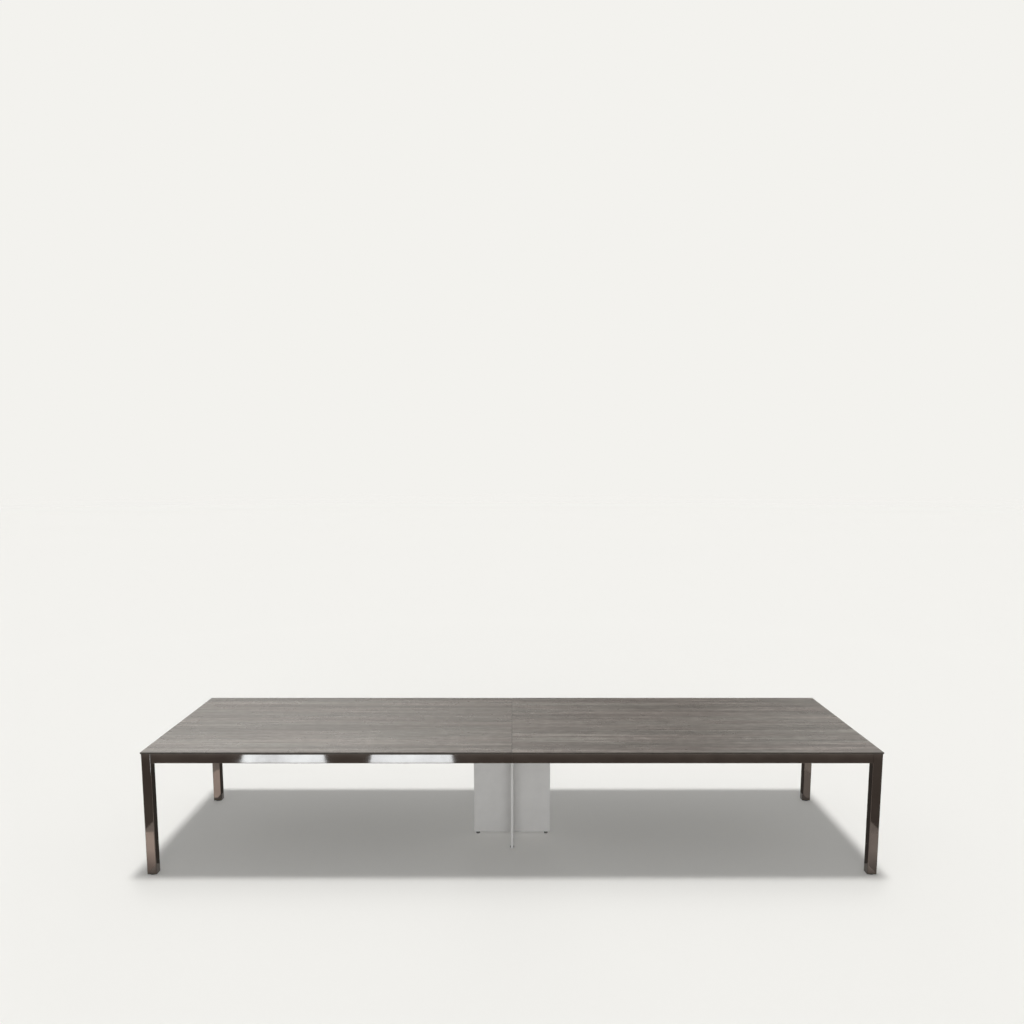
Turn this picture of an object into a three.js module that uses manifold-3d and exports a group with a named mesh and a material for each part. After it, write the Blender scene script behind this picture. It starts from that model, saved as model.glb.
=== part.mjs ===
// Conference table: a thin wood-grain top in two halves on a frame of polished dark tube. The frame stands
// on a square leg at each corner and, at the middle, on two light panels that cross.
// Millimetres. +X runs along the table, +Y to the rear and +Z up. The origin lies on the floor under the
// middle of the table.
import * as THREE from "three";
import { mergeVertices } from "three/addons/utils/BufferGeometryUtils.js";
import Module from "manifold-3d";

const wasm = await Module();
wasm.setup();

// Overall size
const LENGTH = 4200;
const DEPTH = 1200;
const HEIGHT = 730;

// Gap between two pieces that rest on each other or slide into each other
const SEAT = 0.3;

// Top: two boards with a chamfered edge, lined up by a loose tongue in the seam
const TOP_THICKNESS = 10;
const TOP_CHAMFER = 1;
const TOP_OVERHANG = 3;
const SEAM_GAP = 0.6;
const TONGUE_WIDTH = 20;
const TONGUE_THICKNESS = 3;
const TONGUE_SETBACK = 40;

// Tubes of the frame
const TUBE_WALL = 2.5;
const LEG_SIZE = 55;
const LEG_CORNER = 5;
const RAIL_HEIGHT = 55;
const RAIL_WIDTH = 40;
const RAIL_CORNER = 4;

// Tabs welded to the rails and crossbars, which the top is screwed to
const TAB_LENGTH = 40;
const TAB_REACH = 28;
const TAB_THICKNESS = 4;
const TAB_CORNER = 6;
const TAB_HOLE = 7;
const TABS_PER_BAY = 1;
const TABS_PER_SHORT_BAR = 2;

// Cast joiners in the corners, splices in the long rails, and the bolts that lock both
const JOINER_REACH = 90;
const JOINER_BOLT_INSET = 50;
const SPLICE_REACH = 120;
const SPLICE_BOLT_INSET = 80;
const CASTING_WALL = 6;
const CASTING_FLOOR = 12;
const BOLT_DIAMETER = 8;
const BOLT_LENGTH = 22;
const BOLT_HEAD_DIAMETER = 14;
const BOLT_HEAD_HEIGHT = 4;
const BOLT_CROWN_DIAMETER = 8.4;
const BOLT_KEY = 5;
const BOLT_KEY_DEPTH = 2.5;

// End plates welded to the crossbars
const END_PLATE_WIDTH = 120;
const END_PLATE_THICKNESS = 4;
const END_PLATE_BOLT_SPACING = 84;
const VENT_HOLE = 14;

// Levelling feet and the plugs that hold them in the legs
const FOOT_DIAMETER = 46;
const FOOT_THICKNESS = 5;
const FOOT_EDGE = 1.2;
const FOOT_STUD_DIAMETER = 10;
const FOOT_STUD_LENGTH = 40;
const SOCKET_FLANGE = 3;
const SOCKET_DEPTH = 32;
const SOCKET_WALL = 3;
const SOCKET_RIB = 3;
const SOCKET_BOSS = 20;

// Crossing panels of the middle support, one along the table and a longer one across it
const PANEL_SPAN = 484;
const CROSS_PANEL_SPAN = 524;
const PANEL_THICKNESS = 15;
const PANEL_CHAMFER = 1;

// Glides under the panels and the threaded sleeves that hold them
const GLIDE_DIAMETER = 25;
const GLIDE_FACE_DIAMETER = 19;
const GLIDE_HEIGHT = 9;
const GLIDE_EDGE = 1.5;
const GLIDE_INSET = 25;
const GLIDE_STUD_DIAMETER = 8;
const GLIDE_STUD_LENGTH = 34;
const SLEEVE_DIAMETER = 11;
const SLEEVE_DEPTH = 24;
const SLEEVE_RIM_DIAMETER = 14;
const SLEEVE_RIM = 1.2;

// Head plate and angle brackets that hold the panels under the middle crossbar
const HEAD_PLATE_SIZE = 240;
const HEAD_PLATE_THICKNESS = 5;
const HEAD_PLATE_CORNER = 12;
const HEAD_BOLT_SPACING = 150;
const HEAD_BOLT_LENGTH = 20;
const BRACKET_LEG = 40;
const BRACKET_WIDTH = 56;
const BRACKET_THICKNESS = 4;
const BRACKET_BEND = 7;
const BRACKET_OFFSET = 84;
const BRACKET_HOLE = 7;
const BRACKET_HOLE_SPACING = 32;
const BRACKET_HOLE_INSET = 16;

// Facets of round forms
const CORNER_STEPS = 3;
const SMALL_CORNER_STEPS = 1;
const BOLT_SIDES = 8;
const GLIDE_SIDES = 12;
const FOOT_SIDES = 24;

// Levels and places worked out from the sizes above
const FRAME_TOP = HEIGHT - TOP_THICKNESS - SEAT;
const RAIL_BASE = FRAME_TOP - RAIL_HEIGHT;
const FRAME_X = LENGTH / 2 - TOP_OVERHANG;
const FRAME_Y = DEPTH / 2 - TOP_OVERHANG;
const LEG_X = FRAME_X - LEG_SIZE / 2;
const LEG_Y = FRAME_Y - LEG_SIZE / 2;
const RAIL_X = FRAME_X - RAIL_WIDTH / 2;
const RAIL_Y = FRAME_Y - RAIL_WIDTH / 2;
const RAIL_OFFSET = (LEG_SIZE - RAIL_WIDTH) / 2;
const RAIL_END_X = LEG_X - LEG_SIZE / 2 - SEAT;
const RAIL_END_Y = LEG_Y - LEG_SIZE / 2 - SEAT;
const LONG_RAIL = RAIL_END_X - SEAT / 2;
const SHORT_RAIL = 2 * RAIL_END_Y;
const CROSSBAR_SPAN = 2 * (RAIL_Y - RAIL_WIDTH / 2 - SEAT);
const CROSSBAR_X = (RAIL_END_X + SEAT / 2) / 2;

const LEG_CAVITY = LEG_SIZE - 2 * TUBE_WALL;
const LEG_CAVITY_CORNER = Math.max(LEG_CORNER - TUBE_WALL, SEAT);
const RAIL_CAVITY_HEIGHT = RAIL_HEIGHT - 2 * TUBE_WALL;
const RAIL_CAVITY_WIDTH = RAIL_WIDTH - 2 * TUBE_WALL;
const RAIL_CAVITY_CORNER = Math.max(RAIL_CORNER - TUBE_WALL, SEAT);
const CASTING_HEIGHT = RAIL_CAVITY_HEIGHT - 2 * SEAT;
const CASTING_WIDTH = RAIL_CAVITY_WIDTH - 2 * SEAT;
const CASTING_BASE = RAIL_BASE + TUBE_WALL + SEAT;
const BOLT_HOLE = BOLT_DIAMETER + 2 * SEAT;

const SOCKET_BASE = FOOT_THICKNESS + SEAT;
const LEG_BASE = SOCKET_BASE + SOCKET_FLANGE + SEAT;
const LEG_HEIGHT = FRAME_TOP - LEG_BASE;

const SLEEVE_BASE = GLIDE_HEIGHT + SEAT;
const PANEL_BASE = SLEEVE_BASE + SLEEVE_RIM + SEAT;
const HEAD_PLATE_BASE = RAIL_BASE - SEAT - HEAD_PLATE_THICKNESS;
const PANEL_TOP = HEAD_PLATE_BASE - SEAT;
const PANEL_HEIGHT = PANEL_TOP - PANEL_BASE;
const GLIDE_PLACE = PANEL_SPAN / 2 - GLIDE_INSET;

// How far a cutting shape runs past the face that it cuts
const PAST = 1;

// Finishes: every mesh gets a material of its own
const FINISHES = {
  woodGrain: { color: 0x968f88, roughness: 0.55, metalness: 0 },
  darkChrome: { color: 0x3c3431, roughness: 0.12, metalness: 1 },
  lightBoard: { color: 0xd6d5d2, roughness: 0.5, metalness: 0 },
  castAlloy: { color: 0x9a9c9e, roughness: 0.5, metalness: 1 },
  zincSteel: { color: 0xaaadae, roughness: 0.35, metalness: 1 },
  blackPlastic: { color: 0x1d1c1b, roughness: 0.6, metalness: 0 },
};

function piece(name, finish, geometry, [x, y, z], turn = 0) {
  const mesh = new THREE.Mesh(geometry, new THREE.MeshStandardMaterial(FINISHES[finish]));
  mesh.name = name;
  mesh.position.set(x, y, z);
  mesh.rotation.z = turn;
  return mesh;
}

// Booleans
function solidOf(geometry) {
  const bare = geometry.clone();
  bare.deleteAttribute("normal");
  bare.deleteAttribute("uv");
  const merged = mergeVertices(bare);
  const vertProperties = merged.attributes.position.array;
  const triVerts = new Uint32Array(merged.index.array);
  return new wasm.Manifold(new wasm.Mesh({ numProp: 3, vertProperties, triVerts }));
}

function geometryOf(solid) {
  const { vertProperties, triVerts } = solid.getMesh();
  const geometry = new THREE.BufferGeometry();
  geometry.setAttribute("position", new THREE.BufferAttribute(vertProperties, 3));
  geometry.setIndex(new THREE.BufferAttribute(triVerts, 1));
  geometry.computeVertexNormals();
  return geometry;
}

function join(first, ...others) {
  return geometryOf(others.reduce((whole, other) => whole.add(solidOf(other)), solidOf(first)));
}

function cut(body, ...tools) {
  return geometryOf(tools.reduce((left, tool) => left.subtract(solidOf(tool)), solidOf(body)));
}

// Basic forms: each stands on z = 0 and is centred on the Z axis
function extrude(outline, depth, steps = CORNER_STEPS) {
  const options = { depth, bevelEnabled: false, curveSegments: steps };
  return new THREE.ExtrudeGeometry(outline, options);
}

function block(width, depth, height) {
  return new THREE.BoxGeometry(width, depth, height).translate(0, 0, height / 2);
}

function rod(diameter, length, sides = BOLT_SIDES) {
  const upright = new THREE.CylinderGeometry(diameter / 2, diameter / 2, length, sides);
  return upright.rotateX(Math.PI / 2).translate(0, 0, length / 2);
}

function turned(profile, sides) {
  const points = profile.map(([radius, height]) => new THREE.Vector2(radius, height));
  return new THREE.LatheGeometry(points, sides).rotateX(Math.PI / 2);
}

function roundedRectangle(width, height, corner) {
  const x = width / 2 - corner;
  const y = height / 2 - corner;
  const outline = new THREE.Shape();
  outline.absarc(x, y, corner, 0, Math.PI / 2);
  outline.absarc(-x, y, corner, Math.PI / 2, Math.PI);
  outline.absarc(-x, -y, corner, Math.PI, 1.5 * Math.PI);
  outline.absarc(x, -y, corner, 1.5 * Math.PI, 2 * Math.PI);
  outline.closePath();
  return outline;
}

function chamferedBoard(width, depth, thickness, chamfer) {
  const x = width / 2 - chamfer;
  const y = depth / 2 - chamfer;
  const outline = new THREE.Shape();
  outline.moveTo(-x, -y).lineTo(x, -y).lineTo(x, y).lineTo(-x, y).closePath();
  const options = {
    depth: thickness - 2 * chamfer,
    bevelSegments: 1,
    bevelSize: chamfer,
    bevelThickness: chamfer,
  };
  return new THREE.ExtrudeGeometry(outline, options).translate(0, 0, chamfer);
}

function tube(width, height, corner, length) {
  const section = roundedRectangle(width, height, corner);
  const cavityCorner = Math.max(corner - TUBE_WALL, SEAT);
  section.holes.push(roundedRectangle(width - 2 * TUBE_WALL, height - 2 * TUBE_WALL, cavityCorner));
  return extrude(section, length);
}

// Top
function topHalf() {
  const width = (LENGTH - SEAM_GAP) / 2;
  const board = chamferedBoard(width, DEPTH, TOP_THICKNESS, TOP_CHAMFER);
  const grooveDepth = (TONGUE_WIDTH - SEAM_GAP) / 2 + SEAT;
  const grooveHeight = TONGUE_THICKNESS + 2 * SEAT;
  const grooveLength = DEPTH - 2 * TONGUE_SETBACK + 2 * SEAT;
  const groove = block(grooveDepth + PAST, grooveLength, grooveHeight);
  groove.translate((width - grooveDepth + PAST) / 2, 0, (TOP_THICKNESS - grooveHeight) / 2);
  return cut(board, groove);
}

function addTop(table) {
  const middle = SEAM_GAP / 2 + (LENGTH - SEAM_GAP) / 4;
  const base = HEIGHT - TOP_THICKNESS;
  const tongue = block(TONGUE_WIDTH, DEPTH - 2 * TONGUE_SETBACK, TONGUE_THICKNESS);
  const tongueBase = HEIGHT - (TOP_THICKNESS + TONGUE_THICKNESS) / 2;
  table.add(piece("top_left", "woodGrain", topHalf(), [-middle, 0, base]));
  table.add(piece("top_right", "woodGrain", topHalf(), [middle, 0, base], Math.PI));
  table.add(piece("seam_tongue", "zincSteel", tongue, [0, 0, tongueBase]));
}

// Bars of the frame: each lies along +X with its inner face towards +Y
function evenPlaces(length, count) {
  return Array.from({ length: count }, (_, i) => (length * (i + 0.5)) / count);
}

function fixingTab() {
  const x = TAB_LENGTH / 2;
  const outline = new THREE.Shape();
  outline.moveTo(-x, -TUBE_WALL).lineTo(x, -TUBE_WALL);
  outline.absarc(x - TAB_CORNER, TAB_REACH - TAB_CORNER, TAB_CORNER, 0, Math.PI / 2);
  outline.absarc(TAB_CORNER - x, TAB_REACH - TAB_CORNER, TAB_CORNER, Math.PI / 2, Math.PI);
  outline.closePath();
  const hole = rod(TAB_HOLE, TAB_THICKNESS + 2 * PAST).translate(0, TAB_REACH / 2, -PAST);
  return cut(extrude(outline, TAB_THICKNESS, SMALL_CORNER_STEPS), hole);
}

function tabsAt(places, side) {
  const turn = side > 0 ? 0 : Math.PI;
  const level = RAIL_HEIGHT - TAB_THICKNESS;
  return places.map((x) => fixingTab().rotateZ(turn).translate(x, (side * RAIL_WIDTH) / 2, level));
}

function bar(length) {
  const lying = tube(RAIL_HEIGHT, RAIL_WIDTH, RAIL_CORNER, length).rotateY(Math.PI / 2);
  return lying.translate(0, 0, RAIL_HEIGHT / 2);
}

function boltHolesAt(places, depth) {
  return places.map((x) => rod(BOLT_HOLE, depth + 2 * PAST).translate(x, 0, -PAST));
}

function rail(length, boltPlaces, tabPlaces) {
  return cut(join(bar(length), ...tabsAt(tabPlaces, 1)), ...boltHolesAt(boltPlaces, TUBE_WALL));
}

function addRails(table) {
  const bay = LONG_RAIL / 2;
  const firstBay = evenPlaces(bay, TABS_PER_BAY);
  const longTabs = [...firstBay, ...firstBay.map((x) => x + bay)];
  const legBolt = JOINER_BOLT_INSET;
  const seamBolt = SPLICE_BOLT_INSET;
  const legFirst = [legBolt, LONG_RAIL - seamBolt];
  const seamFirst = [seamBolt, LONG_RAIL - legBolt];
  const bothLegs = [legBolt, SHORT_RAIL - legBolt];
  const longRails = [
    ["front_rail_left", legFirst, -RAIL_END_X, -RAIL_Y, 0],
    ["front_rail_right", seamFirst, SEAT / 2, -RAIL_Y, 0],
    ["rear_rail_right", legFirst, RAIL_END_X, RAIL_Y, Math.PI],
    ["rear_rail_left", seamFirst, -SEAT / 2, RAIL_Y, Math.PI],
  ];
  for (const [name, bolts, x, y, turn] of longRails) {
    const geometry = rail(LONG_RAIL, bolts, longTabs);
    table.add(piece(name, "darkChrome", geometry, [x, y, RAIL_BASE], turn));
  }
  for (const [name, side] of [["end_rail_left", -1], ["end_rail_right", 1]]) {
    const geometry = rail(SHORT_RAIL, bothLegs, evenPlaces(SHORT_RAIL, TABS_PER_SHORT_BAR));
    const place = [side * RAIL_X, -side * RAIL_END_Y, RAIL_BASE];
    table.add(piece(name, "darkChrome", geometry, place, (side * Math.PI) / 2));
  }
}

function endPlate() {
  const plate = block(END_PLATE_THICKNESS, END_PLATE_WIDTH, RAIL_HEIGHT);
  const across = END_PLATE_THICKNESS + 2 * PAST;
  const level = RAIL_HEIGHT / 2;
  const holes = [-1, 1].map((side) =>
    rod(BOLT_HOLE, across)
      .rotateY(Math.PI / 2)
      .translate(-across / 2, (side * END_PLATE_BOLT_SPACING) / 2, level),
  );
  const vent = rod(VENT_HOLE, across).rotateY(Math.PI / 2).translate(-across / 2, 0, level);
  return cut(plate, ...holes, vent);
}

function crossbar(boltPlaces) {
  const barLength = CROSSBAR_SPAN - 2 * END_PLATE_THICKNESS;
  const plateX = (CROSSBAR_SPAN - END_PLATE_THICKNESS) / 2;
  const tabPlaces = evenPlaces(barLength, TABS_PER_SHORT_BAR).map((x) => x - barLength / 2);
  const welded = join(
    bar(barLength).translate(-barLength / 2, 0, 0),
    endPlate().translate(-plateX, 0, 0),
    endPlate().translate(plateX, 0, 0),
    ...tabsAt(tabPlaces, 1),
    ...tabsAt(tabPlaces, -1),
  );
  return cut(welded, ...boltHolesAt(boltPlaces, TUBE_WALL));
}

function addCrossbars(table) {
  const headBolts = [-HEAD_BOLT_SPACING / 2, HEAD_BOLT_SPACING / 2];
  const places = [
    ["crossbar_left", -CROSSBAR_X, []],
    ["crossbar_centre", 0, headBolts],
    ["crossbar_right", CROSSBAR_X, []],
  ];
  for (const [name, x, bolts] of places) {
    table.add(piece(name, "darkChrome", crossbar(bolts), [x, 0, RAIL_BASE], Math.PI / 2));
  }
}

// Bolts, splices and corner joiners
function buttonBolt() {
  const radius = BOLT_DIAMETER / 2;
  const headRadius = BOLT_HEAD_DIAMETER / 2;
  const headTop = -SEAT;
  const headBase = headTop - BOLT_HEAD_HEIGHT;
  const crown = headBase + BOLT_HEAD_HEIGHT / 2;
  const profile = [
    [0, headBase],
    [BOLT_CROWN_DIAMETER / 2, headBase],
    [headRadius, crown],
    [headRadius, headTop],
    [radius, headTop],
    [radius, BOLT_LENGTH],
    [0, BOLT_LENGTH],
  ];
  const key = new THREE.CylinderGeometry(BOLT_KEY / 2, BOLT_KEY / 2, BOLT_KEY_DEPTH + PAST, 6);
  key.rotateX(Math.PI / 2).translate(0, 0, headBase + (BOLT_KEY_DEPTH - PAST) / 2);
  return cut(turned(profile, BOLT_SIDES), key);
}

// Cast bar that slides into a rail. It lies along +X from x = 0
function castingBar(length) {
  const section = roundedRectangle(CASTING_HEIGHT, CASTING_WIDTH, RAIL_CAVITY_CORNER);
  const lying = extrude(section, length, SMALL_CORNER_STEPS).rotateY(Math.PI / 2);
  return lying.translate(0, 0, CASTING_HEIGHT / 2);
}

// Long pocket, open at the top, that a casting is cored with
function castingPocket(length) {
  const depth = CASTING_HEIGHT - CASTING_FLOOR;
  return block(length, CASTING_WIDTH - 2 * CASTING_WALL, depth + PAST).translate(0, 0, CASTING_FLOOR);
}

function splice() {
  const blank = castingBar(2 * SPLICE_REACH).translate(-SPLICE_REACH, 0, 0);
  const pocketLength = SPLICE_REACH - 1.5 * CASTING_WALL;
  const pocketX = (pocketLength + CASTING_WALL) / 2;
  const boltX = SEAT / 2 + SPLICE_BOLT_INSET;
  return cut(
    blank,
    castingPocket(pocketLength).translate(-pocketX, 0, 0),
    castingPocket(pocketLength).translate(pocketX, 0, 0),
    ...boltHolesAt([-boltX, boltX], BOLT_LENGTH),
  );
}

function addSplices(table) {
  for (const [name, side] of [["front", -1], ["rear", 1]]) {
    const y = side * RAIL_Y;
    table.add(piece(`splice_${name}`, "castAlloy", splice(), [0, y, CASTING_BASE]));
    for (const [hand, way] of [["left", -1], ["right", 1]]) {
      const place = [way * (SEAT / 2 + SPLICE_BOLT_INSET), y, RAIL_BASE];
      table.add(piece(`splice_bolt_${name}_${hand}`, "zincSteel", buttonBolt(), place));
    }
  }
}

// Three-way joiner: a block that fills the head of the leg, with an arm along +X and one along +Y
function joinerArm() {
  const reach = LEG_SIZE / 2 + SEAT + JOINER_REACH;
  const start = LEG_SIZE / 2 + CASTING_WALL;
  const pocketLength = reach - CASTING_WALL - start;
  const boltX = LEG_SIZE / 2 + SEAT + JOINER_BOLT_INSET;
  const pocket = castingPocket(pocketLength).translate(start + pocketLength / 2, 0, 0);
  return cut(castingBar(reach), pocket, ...boltHolesAt([boltX], BOLT_LENGTH));
}

function cornerJoiner() {
  const size = LEG_CAVITY - 2 * SEAT;
  const outline = roundedRectangle(size, size, LEG_CAVITY_CORNER);
  const hub = extrude(outline, CASTING_HEIGHT, SMALL_CORNER_STEPS);
  const longArm = joinerArm().translate(0, -RAIL_OFFSET, 0);
  const shortArm = joinerArm().rotateZ(Math.PI / 2).translate(-RAIL_OFFSET, 0, 0);
  const core = LEG_CAVITY - 2 * SEAT - 2 * CASTING_WALL;
  const hollow = block(core, core, CASTING_HEIGHT - CASTING_FLOOR + PAST).translate(0, 0, -PAST);
  return cut(join(hub, longArm, shortArm), hollow);
}

// Leg with its two inner walls notched at the top, where the joiner's arms pass
function leg() {
  const notchBase = RAIL_BASE + TUBE_WALL - LEG_BASE;
  const inside = LEG_CAVITY / 2 - LEG_CAVITY_CORNER;
  const notchDepth = LEG_SIZE / 2 - inside + PAST;
  const notch = block(notchDepth, RAIL_CAVITY_WIDTH, LEG_HEIGHT - notchBase + PAST);
  notch.translate(inside + notchDepth / 2, 0, notchBase);
  const longNotch = notch.clone().translate(0, -RAIL_OFFSET, 0);
  const shortNotch = notch.clone().rotateZ(Math.PI / 2).translate(-RAIL_OFFSET, 0, 0);
  return cut(tube(LEG_SIZE, LEG_SIZE, LEG_CORNER, LEG_HEIGHT), longNotch, shortNotch);
}

// Plug in the foot of the leg: a flange under the tube and a ribbed body round a threaded boss
function footSocket() {
  const size = LEG_CAVITY - 2 * SEAT;
  const height = SOCKET_FLANGE + SOCKET_DEPTH;
  const flange = extrude(roundedRectangle(LEG_SIZE, LEG_SIZE, LEG_CORNER), SOCKET_FLANGE);
  const body = extrude(roundedRectangle(size, size, LEG_CAVITY_CORNER), height, SMALL_CORNER_STEPS);
  const pocketSize = size / 2 - SOCKET_WALL - SOCKET_RIB / 2;
  const pocketPlace = (SOCKET_RIB + pocketSize) / 2;
  const boss = rod(SOCKET_BOSS, height);
  const pockets = [];
  for (const x of [-pocketPlace, pocketPlace]) {
    for (const y of [-pocketPlace, pocketPlace]) {
      const room = block(pocketSize, pocketSize, SOCKET_DEPTH + PAST).translate(x, y, SOCKET_FLANGE);
      pockets.push(cut(room, boss));
    }
  }
  const bore = rod(FOOT_STUD_DIAMETER + 2 * SEAT, height + 2 * PAST, FOOT_SIDES).translate(0, 0, -PAST);
  return cut(join(flange, body), ...pockets, bore);
}

function levellingFoot() {
  const radius = FOOT_DIAMETER / 2;
  const stud = FOOT_STUD_DIAMETER / 2;
  const top = FOOT_THICKNESS + FOOT_STUD_LENGTH;
  const profile = [
    [0, 0],
    [radius - FOOT_EDGE, 0],
    [radius, FOOT_EDGE],
    [radius, FOOT_THICKNESS - FOOT_EDGE],
    [radius - FOOT_EDGE, FOOT_THICKNESS],
    [stud, FOOT_THICKNESS],
    [stud, top],
    [0, top],
  ];
  return turned(profile, FOOT_SIDES);
}

function addCorners(table) {
  const corners = [
    ["front_left", -1, -1, 0],
    ["front_right", 1, -1, Math.PI / 2],
    ["rear_right", 1, 1, Math.PI],
    ["rear_left", -1, 1, -Math.PI / 2],
  ];
  const boltReach = LEG_SIZE / 2 + SEAT + JOINER_BOLT_INSET;
  for (const [name, x, y, turn] of corners) {
    const corner = new THREE.Group();
    corner.position.set(x * LEG_X, y * LEG_Y, 0);
    corner.rotation.z = turn;
    corner.add(piece(`leg_${name}`, "darkChrome", leg(), [0, 0, LEG_BASE]));
    corner.add(piece(`corner_joiner_${name}`, "castAlloy", cornerJoiner(), [0, 0, CASTING_BASE]));
    corner.add(piece(`rail_bolt_${name}_1`, "zincSteel", buttonBolt(), [boltReach, -RAIL_OFFSET, RAIL_BASE]));
    corner.add(piece(`rail_bolt_${name}_2`, "zincSteel", buttonBolt(), [-RAIL_OFFSET, boltReach, RAIL_BASE]));
    corner.add(piece(`foot_socket_${name}`, "blackPlastic", footSocket(), [0, 0, SOCKET_BASE]));
    corner.add(piece(`levelling_foot_${name}`, "blackPlastic", levellingFoot(), [0, 0, 0]));
    table.add(corner);
  }
}

// Middle support: two panels halved into each other, each with a threaded sleeve near both lower corners
function panel(span, slotBase, slotTop) {
  const flat = chamferedBoard(span, PANEL_HEIGHT, PANEL_THICKNESS, PANEL_CHAMFER);
  const upright = flat.rotateX(Math.PI / 2).translate(0, PANEL_THICKNESS / 2, PANEL_HEIGHT / 2);
  const slotWidth = PANEL_THICKNESS + 2 * SEAT;
  const slot = block(slotWidth, PANEL_THICKNESS + 2 * PAST, slotTop - slotBase).translate(0, 0, slotBase);
  const sleeveBore = SLEEVE_DEPTH + SEAT;
  const studBore = GLIDE_HEIGHT + GLIDE_STUD_LENGTH + SEAT - PANEL_BASE;
  const bores = [-GLIDE_PLACE, GLIDE_PLACE].flatMap((x) => [
    rod(SLEEVE_DIAMETER + 2 * SEAT, sleeveBore + PAST, GLIDE_SIDES).translate(x, 0, -PAST),
    rod(GLIDE_STUD_DIAMETER + 2 * SEAT, studBore + PAST, GLIDE_SIDES).translate(x, 0, -PAST),
  ]);
  return cut(upright, slot, ...bores);
}

function glideSleeve() {
  const bore = GLIDE_STUD_DIAMETER / 2 + SEAT;
  const body = SLEEVE_DIAMETER / 2;
  const rim = SLEEVE_RIM_DIAMETER / 2;
  const top = SLEEVE_RIM + SLEEVE_DEPTH;
  const profile = [
    [bore, 0],
    [rim, 0],
    [rim, SLEEVE_RIM],
    [body, SLEEVE_RIM],
    [body, top],
    [bore, top],
    [bore, 0],
  ];
  return turned(profile, GLIDE_SIDES);
}

function glide() {
  const radius = GLIDE_DIAMETER / 2;
  const face = GLIDE_FACE_DIAMETER / 2;
  const stud = GLIDE_STUD_DIAMETER / 2;
  const top = GLIDE_HEIGHT + GLIDE_STUD_LENGTH;
  const profile = [
    [0, 0],
    [radius - GLIDE_EDGE, 0],
    [radius, GLIDE_EDGE],
    [radius, GLIDE_HEIGHT / 2],
    [face, GLIDE_HEIGHT],
    [stud, GLIDE_HEIGHT],
    [stud, top],
    [0, top],
  ];
  return turned(profile, GLIDE_SIDES);
}

function headPlate() {
  const plate = extrude(
    roundedRectangle(HEAD_PLATE_SIZE, HEAD_PLATE_SIZE, HEAD_PLATE_CORNER),
    HEAD_PLATE_THICKNESS,
  );
  const through = HEAD_PLATE_THICKNESS + 2 * PAST;
  const countersinks = [-1, 1].map((side) =>
    countersunkBolt(SEAT).translate(0, (side * HEAD_BOLT_SPACING) / 2, 0),
  );
  const bracketHoles = [];
  const reach = PANEL_THICKNESS / 2 + SEAT + BRACKET_LEG - BRACKET_HOLE_INSET;
  for (const turn of [0, 1, 2, 3]) {
    for (const side of [-1, 1]) {
      const along = BRACKET_OFFSET + (side * BRACKET_HOLE_SPACING) / 2;
      const hole = rod(BRACKET_HOLE, through).translate(-along, -reach, -PAST);
      bracketHoles.push(hole.rotateZ((turn * Math.PI) / 2));
    }
  }
  return cut(plate, ...countersinks, ...bracketHoles);
}

// Countersunk bolt whose head lies flush with z = 0. The clearance swells it into the hole that it needs.
function countersunkBolt(clearance) {
  const radius = BOLT_DIAMETER / 2 + clearance;
  const headRadius = BOLT_HEAD_DIAMETER / 2 + clearance;
  const headHeight = headRadius - radius;
  const base = clearance ? -PAST : 0;
  const profile = [
    [0, base],
    [headRadius, base],
    [headRadius, clearance],
    [radius, headHeight + clearance],
    [radius, HEAD_BOLT_LENGTH],
    [0, HEAD_BOLT_LENGTH],
  ];
  return turned(profile, BOLT_SIDES);
}

function bracket() {
  const bend = BRACKET_BEND;
  const inner = bend - BRACKET_THICKNESS;
  const profile = new THREE.Shape();
  profile.moveTo(0, -BRACKET_LEG);
  profile.absarc(bend, -bend, bend, Math.PI, Math.PI / 2, true);
  profile.lineTo(BRACKET_LEG, 0).lineTo(BRACKET_LEG, -BRACKET_THICKNESS);
  profile.absarc(bend, -bend, inner, Math.PI / 2, Math.PI, false);
  profile.lineTo(BRACKET_THICKNESS, -BRACKET_LEG).closePath();
  const bent = extrude(profile, BRACKET_WIDTH).translate(0, 0, -BRACKET_WIDTH / 2);
  bent.rotateX(Math.PI / 2).rotateZ(-Math.PI / 2);
  const through = BRACKET_THICKNESS + 2 * PAST;
  const inset = BRACKET_LEG - BRACKET_HOLE_INSET;
  const holes = [-BRACKET_HOLE_SPACING / 2, BRACKET_HOLE_SPACING / 2].flatMap((x) => [
    rod(BRACKET_HOLE, through).translate(x, -inset, -BRACKET_THICKNESS - PAST),
    rod(BRACKET_HOLE, through).rotateX(Math.PI / 2).translate(x, PAST, -inset),
  ]);
  return cut(bent, ...holes);
}

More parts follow.
